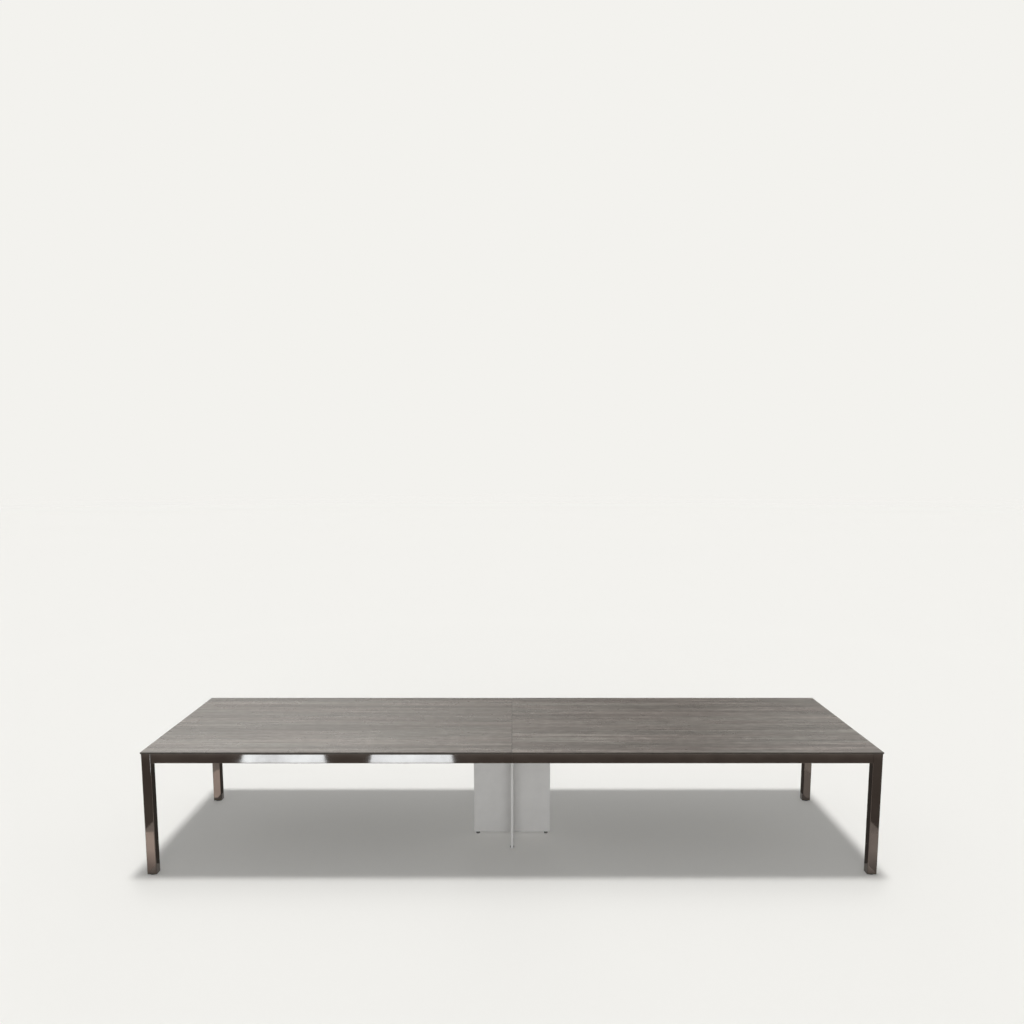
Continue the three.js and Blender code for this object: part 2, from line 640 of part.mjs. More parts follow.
function addPedestal(table) {
  const half = PANEL_HEIGHT / 2;
  const longPanel = panel(PANEL_SPAN, half - SEAT / 2, PANEL_HEIGHT + PAST);
  const crossPanel = panel(CROSS_PANEL_SPAN, -PAST, half + SEAT / 2);
  table.add(piece("pedestal_panel_long", "lightBoard", longPanel, [0, 0, PANEL_BASE]));
  table.add(piece("pedestal_panel_cross", "lightBoard", crossPanel, [0, 0, PANEL_BASE], Math.PI / 2));
  table.add(piece("pedestal_head_plate", "zincSteel", headPlate(), [0, 0, HEAD_PLATE_BASE]));
  for (const [name, side] of [["front", -1], ["rear", 1]]) {
    const place = [0, (side * HEAD_BOLT_SPACING) / 2, HEAD_PLATE_BASE];
    table.add(piece(`head_bolt_${name}`, "zincSteel", countersunkBolt(0), place));
  }
  const ends = ["left", "front", "right", "rear"];
  ends.forEach((end, i) => {
    const arm = new THREE.Group();
    arm.rotation.z = (i * Math.PI) / 2;
    const face = -PANEL_THICKNESS / 2 - SEAT;
    arm.add(piece(`pedestal_bracket_${i + 1}`, "zincSteel", bracket(), [-BRACKET_OFFSET, face, PANEL_TOP]));
    arm.add(piece(`glide_socket_${end}`, "zincSteel", glideSleeve(), [-GLIDE_PLACE, 0, SLEEVE_BASE]));
    arm.add(piece(`glide_${end}`, "blackPlastic", glide(), [-GLIDE_PLACE, 0, 0]));
    table.add(arm);
  });
}

const table = new THREE.Group();
addTop(table);
addRails(table);
addCrossbars(table);
addSplices(table);
addCorners(table);
addPedestal(table);

export default table;
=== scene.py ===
# %% [markdown]
# This is a conference table: a thin wood-grain top in two halves, a frame of polished dark tube with a
# square leg at each corner, and two light panels that cross under the middle. Its packed construction is
# loaded first. It already has every size and place, so each visible piece is worked out from it and nothing
# is fitted by eye. Lengths are in metres, with +X along the table, +Y to its rear and +Z up.

# %% Load the construction
import math

import bmesh
import bpy
from mathutils import Matrix, Vector


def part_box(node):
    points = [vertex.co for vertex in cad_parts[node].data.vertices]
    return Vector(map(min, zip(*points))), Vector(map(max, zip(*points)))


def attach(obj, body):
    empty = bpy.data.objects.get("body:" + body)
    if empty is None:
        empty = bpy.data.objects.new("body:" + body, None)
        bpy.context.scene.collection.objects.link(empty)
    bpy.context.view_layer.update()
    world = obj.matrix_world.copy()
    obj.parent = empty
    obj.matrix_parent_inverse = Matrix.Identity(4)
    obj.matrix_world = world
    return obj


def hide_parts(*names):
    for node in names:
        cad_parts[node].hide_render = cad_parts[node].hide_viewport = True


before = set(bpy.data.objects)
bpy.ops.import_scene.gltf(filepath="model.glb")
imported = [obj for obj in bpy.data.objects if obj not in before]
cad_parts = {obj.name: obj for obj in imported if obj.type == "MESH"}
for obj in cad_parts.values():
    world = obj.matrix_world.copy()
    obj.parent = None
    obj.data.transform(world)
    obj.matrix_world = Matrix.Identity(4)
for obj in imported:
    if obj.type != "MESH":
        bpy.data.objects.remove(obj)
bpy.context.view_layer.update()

# %% [markdown]
# The photograph was taken from in front of the middle of the table, from a little above standing height. A
# camera can be set by trying until it looks right. Here the four corners of the top and the four leg ends
# gave the lens and its place, which leaves nothing to guess. The camera is tipped down only a little and
# the lens is shifted for the rest, which keeps the legs nearly upright.

# %% Camera
CAMERA_PLACE = (0.0, -5.402, 2.312)
CAMERA_TILT = math.radians(82.694)
LENS_LENGTH = 30.94
LENS_SHIFT = 0.0689

scene = bpy.context.scene
scene.view_settings.view_transform = "Standard"


def linked(name, data):
    """An object made of some data, such as a mesh or a lamp, and put in the scene."""
    thing = bpy.data.objects.new(name, data)
    scene.collection.objects.link(thing)
    return thing


lens = bpy.data.cameras.new("camera")
lens.lens = LENS_LENGTH
lens.shift_y = LENS_SHIFT
camera = linked("camera", lens)
camera.location = CAMERA_PLACE
camera.rotation_euler = (CAMERA_TILT, 0, 0)
scene.camera = camera
print("camera:", LENS_LENGTH, "mm lens at", CAMERA_PLACE)

# %% [markdown]
# Materials, the studio and the repeated pieces are all node trees here. Each node could be added and linked
# line by line. One small helper does that in a single call instead: it adds a node, sets its options and
# fills its inputs, with a value or with a link from another node, so a long tree reads as a list of steps.
# Short helpers stand for the nodes that turn up most.

# %% Node helpers
def place(tree, kind, inputs=None, **options):
    """Adds a node, sets its options, and fills its inputs with values or links."""
    node = tree.nodes.new(kind)
    for option, value in options.items():
        setattr(node, option, value)
    for key, value in (inputs or {}).items():
        if isinstance(value, bpy.types.NodeSocket):
            tree.links.new(value, node.inputs[key])
        else:
            node.inputs[key].default_value = value
    return node


def calc(tree, operation, first, second=0.0, third=0.0):
    """The result of a Math node."""
    inputs = {0: first, 1: second, 2: third}
    return place(tree, "ShaderNodeMath", inputs, operation=operation).outputs[0]


def spread(tree, value, low, high, to_low=0.0, to_high=1.0):
    """Maps a value between two ends to two other ends, and stops there."""
    inputs = {0: value, 1: low, 2: high, 3: to_low, 4: to_high}
    return place(tree, "ShaderNodeMapRange", inputs).outputs[0]


def split(tree, whole):
    """The X, Y and Z of a vector."""
    return place(tree, "ShaderNodeSeparateXYZ", {0: whole}).outputs


def vector(tree, **parts):
    """A vector from its X, Y and Z."""
    return place(tree, "ShaderNodeCombineXYZ", parts).outputs[0]


def own_place(tree):
    """The place on the object that a pattern reads. It stays with the object when that moves."""
    return place(tree, "ShaderNodeTexCoord").outputs["Object"]


print("node helpers: place, calc, spread, split, vector and own_place")

# %% [markdown]
# A colour is easiest to choose as a screen shows it, from 0 to 255. A shader counts light instead, so each
# colour is turned into that linear scale here, once. A ramp leads through several colours, and a mix joins
# two of them by a mask.

# %% Colours
def paint(red, green, blue):
    """A colour as it looks on a screen, turned into the linear colour that a shader takes."""
    shares = [channel / 255 for channel in (red, green, blue)]
    linear = [((s + 0.055) / 1.055) ** 2.4 if s > 0.04045 else s / 12.92 for s in shares]
    return (*linear, 1.0)


def scaled(colour, share):
    """A colour with all its light made stronger or weaker."""
    return (*[channel * share for channel in colour[:3]], 1.0)


def ramp(tree, value, *stops):
    """A colour ramp through (place, colour) stops."""
    node = place(tree, "ShaderNodeValToRGB", {0: value})
    elements = node.color_ramp.elements
    while len(elements) < len(stops):
        elements.new(1.0)
    for element, (where, colour) in zip(elements, stops):
        element.position = where
        element.color = colour
    return node.outputs[0]


def blend(tree, mask, first, second, blend_type="MIX"):
    """Two colours mixed by a mask."""
    inputs = {0: mask, 6: first, 7: second}
    return place(tree, "ShaderNodeMix", inputs, data_type="RGBA", blend_type=blend_type).outputs[2]


WHITE = (1.0, 1.0, 1.0, 1.0)
PALE = paint(243, 242, 238)
print("pale studio colour:", [round(channel, 3) for channel in PALE])

# %% [markdown]
# The studio is made of level sheets: the floor, a shade and a few cards. Planes from the Add menu would
# have to be scaled and moved. A sheet that is made from its corners lies in its place at once. None is put
# on a body of the table, so none goes along with it, and some kinds of ray can be kept from meeting it.

# %% Studio sheets
def rectangle(left, front, right, rear):
    """The four corners of a rectangle seen from above."""
    return [(left, front), (right, front), (right, rear), (left, rear)]


def bare_material(name):
    """A material with an empty tree, for the things of the studio."""
    material = bpy.data.materials.new(name)
    material.use_nodes = True
    material.node_tree.nodes.clear()
    return material, material.node_tree


def stage_sheet(name, outline, height, material, hidden_from=()):
    """A level sheet that belongs to the studio. Some kinds of ray don't meet it."""
    mesh = bpy.data.meshes.new(name)
    mesh.from_pydata([(x, y, height) for x, y in outline], [], [range(len(outline))])
    mesh.materials.append(material)
    sheet = linked(name, mesh)
    for ray in hidden_from:
        setattr(sheet, f"visible_{ray}", False)


print("studio helpers: rectangle, bare_material and stage_sheet")

# %% [markdown]
# The studio is one pale tone, so that the floor and the background meet without a line. A plain diffuse
# plane would do for a floor, but its shadow comes out too dark. So the floor adds a little glow of its own
# for the rays of the camera and of mirrors, and gives only part of its light back up, which keeps the
# panels even. Far away it fades into the sky, and seen from below it is clear, so that the underside can be
# looked at.

# %% Floor
FLOOR_SIZE = 400.0
FLOOR_GLOW = 0.14
FLOOR_BOUNCE = 0.5
FLOOR_FADE = (8.0, 80.0)


def floor_material():
    material, tree = bare_material("studio_floor")
    path = place(tree, "ShaderNodeLightPath").outputs
    mirror = calc(tree, "MAXIMUM", path["Is Glossy Ray"], path["Is Transmission Ray"])
    seen = calc(tree, "MAXIMUM", path["Is Camera Ray"], mirror)
    shown = blend(tree, seen, scaled(PALE, FLOOR_BOUNCE), scaled(PALE, 1 - FLOOR_GLOW))
    matt = place(tree, "ShaderNodeBsdfDiffuse", {"Color": shown}).outputs[0]
    glow = calc(tree, "MULTIPLY", seen, FLOOR_GLOW)
    light = place(tree, "ShaderNodeEmission", {"Color": PALE, "Strength": glow}).outputs[0]
    both = place(tree, "ShaderNodeAddShader", {0: matt, 1: light}).outputs[0]
    away = place(tree, "ShaderNodeVectorMath", {0: own_place(tree)}, operation="LENGTH").outputs["Value"]
    below = place(tree, "ShaderNodeNewGeometry").outputs["Backfacing"]
    gone = calc(tree, "MAXIMUM", below, spread(tree, away, *FLOOR_FADE))
    gone = calc(tree, "MULTIPLY", gone, path["Is Camera Ray"])
    clear = place(tree, "ShaderNodeBsdfTransparent").outputs[0]
    whole = place(tree, "ShaderNodeMixShader", {0: gone, 1: both, 2: clear}).outputs[0]
    place(tree, "ShaderNodeOutputMaterial", {"Surface": whole})
    return material


half_floor = FLOOR_SIZE / 2
stage_sheet("floor", rectangle(-half_floor, -half_floor, half_floor, half_floor), 0.0, floor_material())
print("floor: fades out from", FLOOR_FADE[0], "to", FLOOR_FADE[1], "m away")

# %% [markdown]
# A sun overhead gives the soft-edged shadow under the top, a dim sky fills it, and two low lamps, in front
# and behind, light what stands upright. Area lamps would do too, but their light falls off with distance.
# Suns make it easy to add up: together with the sky, and with the tenth that a low lamp gives a level
# surface, they light the top with exactly 1, so a colour renders as it is written. They leave no glint on
# the metal.

# %% Lamps
SKY_SHARE = 0.30
SUN_ANGLE = math.radians(8.0)
FRONT_LAMP = 0.47
REAR_LAMP = 0.25
LOW_LAMP_HEIGHT = math.radians(4.0)
LOW_LAMP_ANGLE = math.radians(30.0)
LOW_LAMP_LEVEL = 0.096
SUN_SHARE = 1 - SKY_SHARE - (FRONT_LAMP + REAR_LAMP) * LOW_LAMP_LEVEL


def lamp(name, share, angle, lean):
    """A far, broad lamp that leans from overhead. A surface that faces it gets its share of light."""
    light = bpy.data.lights.new(name, "SUN")
    light.energy = share * math.pi
    light.angle = angle
    holder = linked(name, light)
    holder.rotation_euler = (lean, 0, 0)
    holder.visible_glossy = False


low_lean = math.pi / 2 - LOW_LAMP_HEIGHT
lamp("overhead_sun", SUN_SHARE, SUN_ANGLE, 0.0)
lamp("front_lamp", FRONT_LAMP, LOW_LAMP_ANGLE, low_lean)
lamp("rear_lamp", REAR_LAMP, LOW_LAMP_ANGLE, -low_lean)
print("lamps: sun", round(SUN_SHARE, 3), "front", FRONT_LAMP, "rear", REAR_LAMP)

# %% [markdown]
# The satin top shows a faint image of the wall behind the table: light on the left, where a window must
# stand, darkest a little right of the middle, lighter again at the far right, and darker low down. A real
# wall would throw its own light about. So the sky carries that wall, for mirror rays only and only to the
# rear. To all other sides the metal meets the plain pale tone, as the camera does, and for light itself the
# sky is even. A ray's own direction tells where on the wall it ends.

# %% Sky
WALL_TONES = (
    (-1.0, 1.0), (-0.34, 1.95), (-0.19, 1.75), (0.0, 0.98), (0.18, 0.52), (0.34, 1.25), (1.0, 0.9),
)
WALL_PEAK = max(tone for side, tone in WALL_TONES)
WALL_RISE = (0.245, 0.335)
WALL_LEVELS = (0.1, 1.36)
WALL_EDGE = (0.5, 0.75)

world = bpy.data.worlds.new("studio")
world.use_nodes = True
scene.world = world
sky = world.node_tree
sky.nodes.clear()
path = place(sky, "ShaderNodeLightPath").outputs
aim = split(sky, place(sky, "ShaderNodeTexCoord").outputs["Generated"])
wall_stops = [((side + 1) / 2, scaled(PALE, tone / WALL_PEAK)) for side, tone in WALL_TONES]
wall = ramp(sky, spread(sky, aim["X"], -1.0, 1.0), *wall_stops)
wall_light = calc(sky, "MULTIPLY", spread(sky, aim["Z"], *WALL_RISE, *WALL_LEVELS), WALL_PEAK)
even = place(sky, "ShaderNodeBackground", {"Strength": SKY_SHARE, "Color": WHITE}).outputs[0]
backdrop = place(sky, "ShaderNodeBackground", {"Color": PALE}).outputs[0]
rear_wall = place(sky, "ShaderNodeBackground", {"Strength": wall_light, "Color": wall}).outputs[0]
rearward = spread(sky, aim["Y"], *WALL_EDGE)
mirrored = place(sky, "ShaderNodeMixShader", {0: rearward, 1: backdrop, 2: rear_wall}).outputs[0]
unseen = place(sky, "ShaderNodeMixShader", {0: path["Is Glossy Ray"], 1: even, 2: mirrored}).outputs[0]
direct = calc(sky, "MAXIMUM", path["Is Camera Ray"], path["Is Transmission Ray"])
whole = place(sky, "ShaderNodeMixShader", {0: direct, 1: unseen, 2: backdrop}).outputs[0]
place(sky, "ShaderNodeOutputWorld", {"Surface": whole})
print("sky: even share", SKY_SHARE, "and a mirrored wall of tones up to", WALL_PEAK)

# %% [markdown]
# In the photograph the shadow reaches a hand's breadth past the top at the rear and a few fingers at the
# sides, and it fades out softly in front, as a big lamp close above makes it. Such a lamp would also change
# the light on the table. A sheet just under the frame that only blocks light gives the floor that shadow,
# and nothing else meets it. In front of the table the sheet is a veil that grows clearer, by a colour ramp.

# %% Shade for the floor
SHADE_LEFT, SHADE_RIGHT = -2.17, 2.14
SHADE_FRONT, SHADE_REAR = -0.635, 0.775
SHADE_HEIGHT = 0.66
VEIL_FRONT = -1.02
VEIL_TAPER = 0.25
VEIL_STOPS = (
    (VEIL_FRONT, 1.0), (-0.90, 0.95), (-0.80, 0.88), (-0.70, 0.80), (-0.64, 0.77), (SHADE_FRONT, 0.0),
)


def shade_material():
    material, tree = bare_material("floor_shade")
    depth = split(tree, own_place(tree))["Y"]
    reach = SHADE_FRONT - VEIL_FRONT
    stops = [((y - VEIL_FRONT) / reach, scaled(WHITE, clear)) for y, clear in VEIL_STOPS]
    veil = ramp(tree, spread(tree, depth, VEIL_FRONT, SHADE_FRONT), *stops)
    sheer = place(tree, "ShaderNodeBsdfTransparent", {"Color": veil}).outputs[0]
    place(tree, "ShaderNodeOutputMaterial", {"Surface": sheer})
    return material


shade_outline = [
    (SHADE_LEFT + VEIL_TAPER, VEIL_FRONT), (SHADE_RIGHT - VEIL_TAPER, VEIL_FRONT),
    (SHADE_RIGHT, SHADE_FRONT), (SHADE_RIGHT, SHADE_REAR),
    (SHADE_LEFT, SHADE_REAR), (SHADE_LEFT, SHADE_FRONT),
]
all_but_shadow = ("camera", "diffuse", "glossy", "transmission")
stage_sheet("floor_shade", shade_outline, SHADE_HEIGHT, shade_material(), all_but_shadow)
print("shade:", round(SHADE_RIGHT - SHADE_LEFT, 3), "by", round(SHADE_REAR - SHADE_FRONT, 3))

# %% [markdown]
# Polished metal only shows what stands around it, and in the photograph the frame mirrors a dark room. The
# whole room could be built. Flat cards that lie round the table are enough, as a studio's black flags would
# be. Only mirror rays meet them, so they change neither the floor nor the light. They lie at slightly
# different heights, so that no two of them share a plane where they overlap.

# %% Dark flags
FLAG_LIFT = 0.002
RING_LIFT = 0.001
NEAR_FLAG = (0.285, 0.265, 0.245, 1.0)
FAR_FLAG = (0.44, 0.42, 0.40, 1.0)
UNDER_FLAG = (0.11, 0.10, 0.09, 1.0)
FLAG_REACH = 14.0
FLAG_TURN = -2.69
FLAG_NEAR = -1.38
FLAG_SIDE = 2.375
FLAG_SIDE_NEAR = -1.2
RING_SIDE = 2.95
RING_REAR = 1.4
UNDER_SPAN = (-2.0, -0.45, 2.0, 3.0)


def mirror_card(name, outline, lift, colour, fade=None):
    """A glowing card near the floor that only mirror rays meet. A fade changes it from front to rear."""
    material, tree = bare_material(name)
    strength = spread(tree, split(tree, own_place(tree))["Y"], *fade) if fade else 1.0
    glow = place(tree, "ShaderNodeEmission", {"Color": colour, "Strength": strength}).outputs[0]
    place(tree, "ShaderNodeOutputMaterial", {"Surface": glow})
    stage_sheet(name, outline, lift, material, ("camera", "diffuse", "transmission", "shadow"))


half_outline = [
    (FLAG_REACH, FLAG_TURN), (FLAG_REACH, FLAG_SIDE_NEAR),
    (FLAG_SIDE, FLAG_SIDE_NEAR), (FLAG_SIDE, FLAG_NEAR),
]
near_outline = half_outline + [(-x, y) for x, y in reversed(half_outline)]
mirror_card("near_flag", near_outline, FLAG_LIFT, NEAR_FLAG)
mirror_card("far_flag", rectangle(-FLAG_REACH, -FLAG_REACH, FLAG_REACH, FLAG_TURN), FLAG_LIFT, FAR_FLAG)
mirror_card("under_flag", rectangle(*UNDER_SPAN), FLAG_LIFT, UNDER_FLAG)
ring = {
    "left_flag": (-FLAG_REACH, FLAG_SIDE_NEAR, -RING_SIDE, FLAG_REACH),
    "right_flag": (RING_SIDE, FLAG_SIDE_NEAR, FLAG_REACH, FLAG_REACH),
    "rear_flag": (-RING_SIDE, RING_REAR, RING_SIDE, FLAG_REACH),
}
for name, span in ring.items():
    mirror_card(name, rectangle(*span), RING_LIFT, NEAR_FLAG)
print("dark flags:", 3 + len(ring))

# %% [markdown]
# Low on the legs the metal mirrors a lighter stretch of floor, which grows dimmer close to a foot. A lamp
# there would light the floor as well, so a pale board beside each leg stands for it. The two in front have
# a fade: how bright they are at one place from front to rear, and at another.

# %% Pale boards
FRONT_BOARD = (2.10, -1.2, 2.375, -0.6)
REAR_BOARD = (2.09, -0.11, 2.29, 0.48)
BOARD_TONES = {
    "left": (-1, (1.62, 1.50, 1.42, 1.0), (-0.93, -0.64, 1.1, 0.42)),
    "right": (1, (0.65, 0.64, 0.62, 1.0), (-0.95, -0.64, 1.5, 0.6)),
}

for hand, (side, tone, fade) in BOARD_TONES.items():
    front = [(side * x, y) for x, y in rectangle(*FRONT_BOARD)]
    mirror_card(f"front_board_{hand}", front, FLAG_LIFT, tone, fade)
    rear = [(side * x, y) for x, y in rectangle(*REAR_BOARD)]
    mirror_card(f"rear_board_{hand}", rear, FLAG_LIFT, tone)
print("pale boards:", 2 * len(BOARD_TONES))

# %% [markdown]
# The front beam mirrors two bright windows. Real ones would need a wall round them. A card that glows a
# cool white is enough, because only its image shows. Its sides lean, because the near and the far edge of a
# window are mirrored at different places on the beam.

# %% Windows
WINDOW_LIFT = 0.004
WINDOW_LIGHT = (5.5, 6.7, 7.6, 1.0)
WINDOW_NEAR = -2.45
WINDOW_FAR = -2.85
WINDOW_SPANS = (((-2.13, -1.45), (-2.22, -1.57)), ((-1.12, -0.455), (-1.16, -0.505)))

for number, ((near_left, near_right), (far_left, far_right)) in enumerate(WINDOW_SPANS, 1):
    outline = [
        (far_left, WINDOW_FAR), (far_right, WINDOW_FAR), (near_right, WINDOW_NEAR), (near_left, WINDOW_NEAR),
    ]
    mirror_card(f"window_card_{number}", outline, WINDOW_LIFT, WINDOW_LIGHT)
print("windows:", len(WINDOW_SPANS))

# %% [markdown]
# Some effects turn up in several finishes. An image could hold each of them, but noise in the object's own
# space needs no unwrapping and shows no seam. Each effect is a shader group with named inputs, built once
# and placed in every material that needs it. A group only puts out masks and heights, and the shader itself
# stays in the material.

# %% Shader group helpers
def new_group(name, inputs, outputs):
    """An empty shader group with float inputs and outputs. Returns its tree, its inputs and its way out."""
    group = bpy.data.node_groups.new(name, "ShaderNodeTree")
    for socket, value in inputs.items():
        made = group.interface.new_socket(socket, in_out="INPUT", socket_type="NodeSocketFloat")
        made.default_value = value
    for socket in outputs:
        group.interface.new_socket(socket, in_out="OUTPUT", socket_type="NodeSocketFloat")
    return group, place(group, "NodeGroupInput").outputs, place(group, "NodeGroupOutput").inputs


def noise(tree, spot, scale, detail, roughness=0.5):
    """A cloudy noise. Scale counts its patches per metre."""
    inputs = {"Vector": spot, "Scale": scale, "Detail": detail, "Roughness": roughness}
    return place(tree, "ShaderNodeTexNoise", inputs).outputs["Fac"]


def stretched_noise(tree, spot, stretch, detail, roughness=0.5):
    """Noise whose patches are drawn out differently along each axis. Stretch counts patches per metre."""
    drawn = place(tree, "ShaderNodeMapping", {"Vector": spot, "Scale": stretch}).outputs[0]
    return noise(tree, drawn, 1.0, detail, roughness)


print("group helpers: new_group, noise and stretched_noise")

# %% [markdown]
# Things in use get smudges and hairline scratches. A scanned mask could bring both, but noise does without
# one. A smudge is a soft cloud. A scratch comes from a noise that is drawn out until only lines are left,
# of which the crests are kept: some lie along the table and some stand upright. They come in patches, as
# real rubbing does.

# %% Handling marks
SMUDGES = (0.42, 0.68)
SCRATCHES_ALONG, CRESTS_ALONG = (5, 420, 420), (0.66, 0.7)
SCRATCHES_UPRIGHT, CRESTS_UPRIGHT = (420, 420, 6), (0.67, 0.71)
RUBBED = (0.5, 0.66)


def marks_group():
    group, given, out = new_group("handling_marks", {"Smudge Scale": 6.0}, ["Smudges", "Scratches"])
    spot = own_place(group)
    smudge = noise(group, spot, given["Smudge Scale"], detail=5.0, roughness=0.62)
    group.links.new(spread(group, smudge, *SMUDGES), out["Smudges"])
    along = spread(group, stretched_noise(group, spot, SCRATCHES_ALONG, detail=1.0), *CRESTS_ALONG)
    upright = spread(group, stretched_noise(group, spot, SCRATCHES_UPRIGHT, detail=1.0), *CRESTS_UPRIGHT)
    hairline = calc(group, "MAXIMUM", along, upright)
    patch = spread(group, noise(group, spot, scale=5.0, detail=2.0), *RUBBED)
    group.links.new(calc(group, "MULTIPLY", hairline, patch), out["Scratches"])
    return group


MARKS = marks_group()
print("shader group:", MARKS.name)

# %% [markdown]
# A cast, moulded or pressed skin has a fine grain, and with it a broad mottling of its tone. To sculpt it
# would take millions of points, so two noises stand for them. The mottling is always a set number of times
# wider, so that one scale is enough for both.

# %% Fine grain
MOTTLE_WIDTH = 40.0


def grain_group():
    group, given, out = new_group("fine_grain", {"Scale": 900.0}, ["Height", "Mottle"])
    spot = own_place(group)
    group.links.new(noise(group, spot, given["Scale"], detail=2.0, roughness=0.55), out["Height"])
    broad = calc(group, "DIVIDE", given["Scale"], MOTTLE_WIDTH)
    group.links.new(noise(group, spot, broad, detail=4.0, roughness=0.6), out["Mottle"])
    return group


GRAIN = grain_group()
print("shader group:", GRAIN.name)

# %% [markdown]
# Dust settles near the floor. It could be painted on by hand. Here the height above the floor says how much
# lies on a spot, most at the floor and none above a reach that each finish sets, and a noise makes it
# patchy.

# %% Floor dust
DUST_PATCHES = (0.35, 0.7)


def dust_group():
    group, given, out = new_group("floor_dust", {"Reach": 0.05}, ["Dust"])
    spot = own_place(group)
    level = calc(group, "DIVIDE", split(group, spot)["Z"], given["Reach"])
    near = spread(group, level, 0.0, 1.0, 1.0, 0.0)
    cloud = spread(group, noise(group, spot, scale=90.0, detail=6.0, roughness=0.7), *DUST_PATCHES)
    group.links.new(calc(group, "MULTIPLY", near, cloud), out["Dust"])
    return group


DUST = dust_group()
print("shader group:", DUST.name)

# %% [markdown]
# A material starts as a Principled shader, which covers wood, metal and plastic alike. These helpers place
# a shared group in it, let a mask tinge a colour or raise a value, and turn a height into a bump. Together
# they make every finish here.

# %% Material helpers
def new_material(name):
    """A material with its tree and its shader."""
    material = bpy.data.materials.new(name)
    material.use_nodes = True
    return material, material.node_tree, material.node_tree.nodes["Principled BSDF"]


def use_group(tree, group, **inputs):
    """Places a shared group in a material and returns what it puts out."""
    node = place(tree, "ShaderNodeGroup", node_tree=group)
    for socket, value in inputs.items():
        node.inputs[socket.replace("_", " ").title()].default_value = value
    return node.outputs


def tinged(tree, colour, mask, share, tint):
    """A colour that takes on a share of a tint where a mask says so."""
    return blend(tree, calc(tree, "MULTIPLY", mask, share), colour, tint)


def added(tree, base, mask, share):
    """A value raised by a share of a mask."""
    return calc(tree, "MULTIPLY_ADD", mask, share, base)


def link(tree, shader, **sockets):
    """Links patterns to the shader's sockets, such as base_color or roughness."""
    for socket, value in sockets.items():
        tree.links.new(value, shader.inputs[socket.replace("_", " ").title()])


def bump(tree, height, depth):
    """A normal that a height tips as a real relief of that depth would."""
    return place(tree, "ShaderNodeBump", {"Height": height, "Distance": depth}).outputs[0]


print("material helpers: new_material, use_group, tinged, added, link and bump")

# %% [markdown]
# The top has a printed wood decor, with its grain along the table. A picture of wood would be the usual
# way, but it repeats, and this top is over four metres long. Layers of noise don't repeat: long even bands,
# short flames, then streaks and fine lines, each thinner than the last. A slow noise first pushes the lines
# sideways so that they wander a little. The two halves were cut from different boards, so the pattern jumps
# at the seam.

# %% Grain of the decor
BOARD_JUMP = 3.7
DRIFT = (0.7, 1.8, 1.0)
WANDER = 0.03
GRAIN_ROUGHNESS = 0.6
GRAIN_LAYERS = (
    {"stretch": (0.3, 15.0, 1.0), "detail": 1.0, "weight": 0.4},
    {"stretch": (16.0, 48.0, 1.0), "detail": 2.0, "weight": 0.3},
    {"stretch": (1.5, 34.0, 1.0), "detail": 3.0, "weight": 0.24},
    {"stretch": (1.1, 95.0, 1.0), "detail": 3.0, "weight": 0.36},
    {"stretch": (3.0, 300.0, 1.0), "detail": 3.0, "weight": 0.44},
)
GRAIN_MIDDLE = sum(layer["weight"] for layer in GRAIN_LAYERS) / 2


def grain_line(tree):
    """The place on the board that the grain reads, wandering a little, and far apart for the two halves."""
    spot = own_place(tree)
    across = split(tree, spot)
    board = calc(tree, "MULTIPLY", calc(tree, "GREATER_THAN", across["X"], 0.0), BOARD_JUMP)
    drift = calc(tree, "SUBTRACT", stretched_noise(tree, spot, DRIFT, detail=2.0), 0.5)
    return vector(tree, X=across["X"], Y=added(tree, across["Y"], drift, WANDER), Z=board)


def grain_tone(tree, line):
    """All layers added up by their weights, and the finest layer alone."""
    tone = 0.0
    for layer in GRAIN_LAYERS:
        lines = stretched_noise(tree, line, layer["stretch"], layer["detail"], GRAIN_ROUGHNESS)
        tone = added(tree, tone, lines, layer["weight"])
    return tone, lines


print("grain:", len(GRAIN_LAYERS), "layers around", round(GRAIN_MIDDLE, 3))

# %% [markdown]
# The decor lies under a satin melamine skin. The grain leads through four browns, and broad patches are a
# little warmer or cooler, as in veneer. Short dark pores dull the skin and are pressed into it, while the
# finest lines stand up, by hundredths of a millimetre. Hands leave a few smudges, which only show where
# something is mirrored.

# %% Wood-grain decor
GRAIN_SPREAD = 0.12
DECOR_TONES = (
    (0.0, paint(78, 70, 64)), (0.4, paint(99, 91, 85)),
    (0.7, paint(114, 106, 100)), (1.0, paint(138, 130, 123)),
)
WARM_PATCHES, WARM_RANGE = (0.9, 9.0, 1.0), (0.35, 0.65)
COOL_TINT = (0.955, 1.0, 0.975, 1.0)
WARM_TINT = (1.0, 0.955, 0.94, 1.0)
PORES, PORE_RANGE = (16.0, 760.0, 1.0), (0.58, 0.7)
PORE_TONE, PORE_SHARE = paint(66, 60, 55), 0.3
DECOR_ROUGHNESS = 0.27
PORE_DULLING = 0.1
DECOR_SMUDGE = 0.02
LINE_HEIGHT = 0.4
DECOR_RELIEF = 0.00003


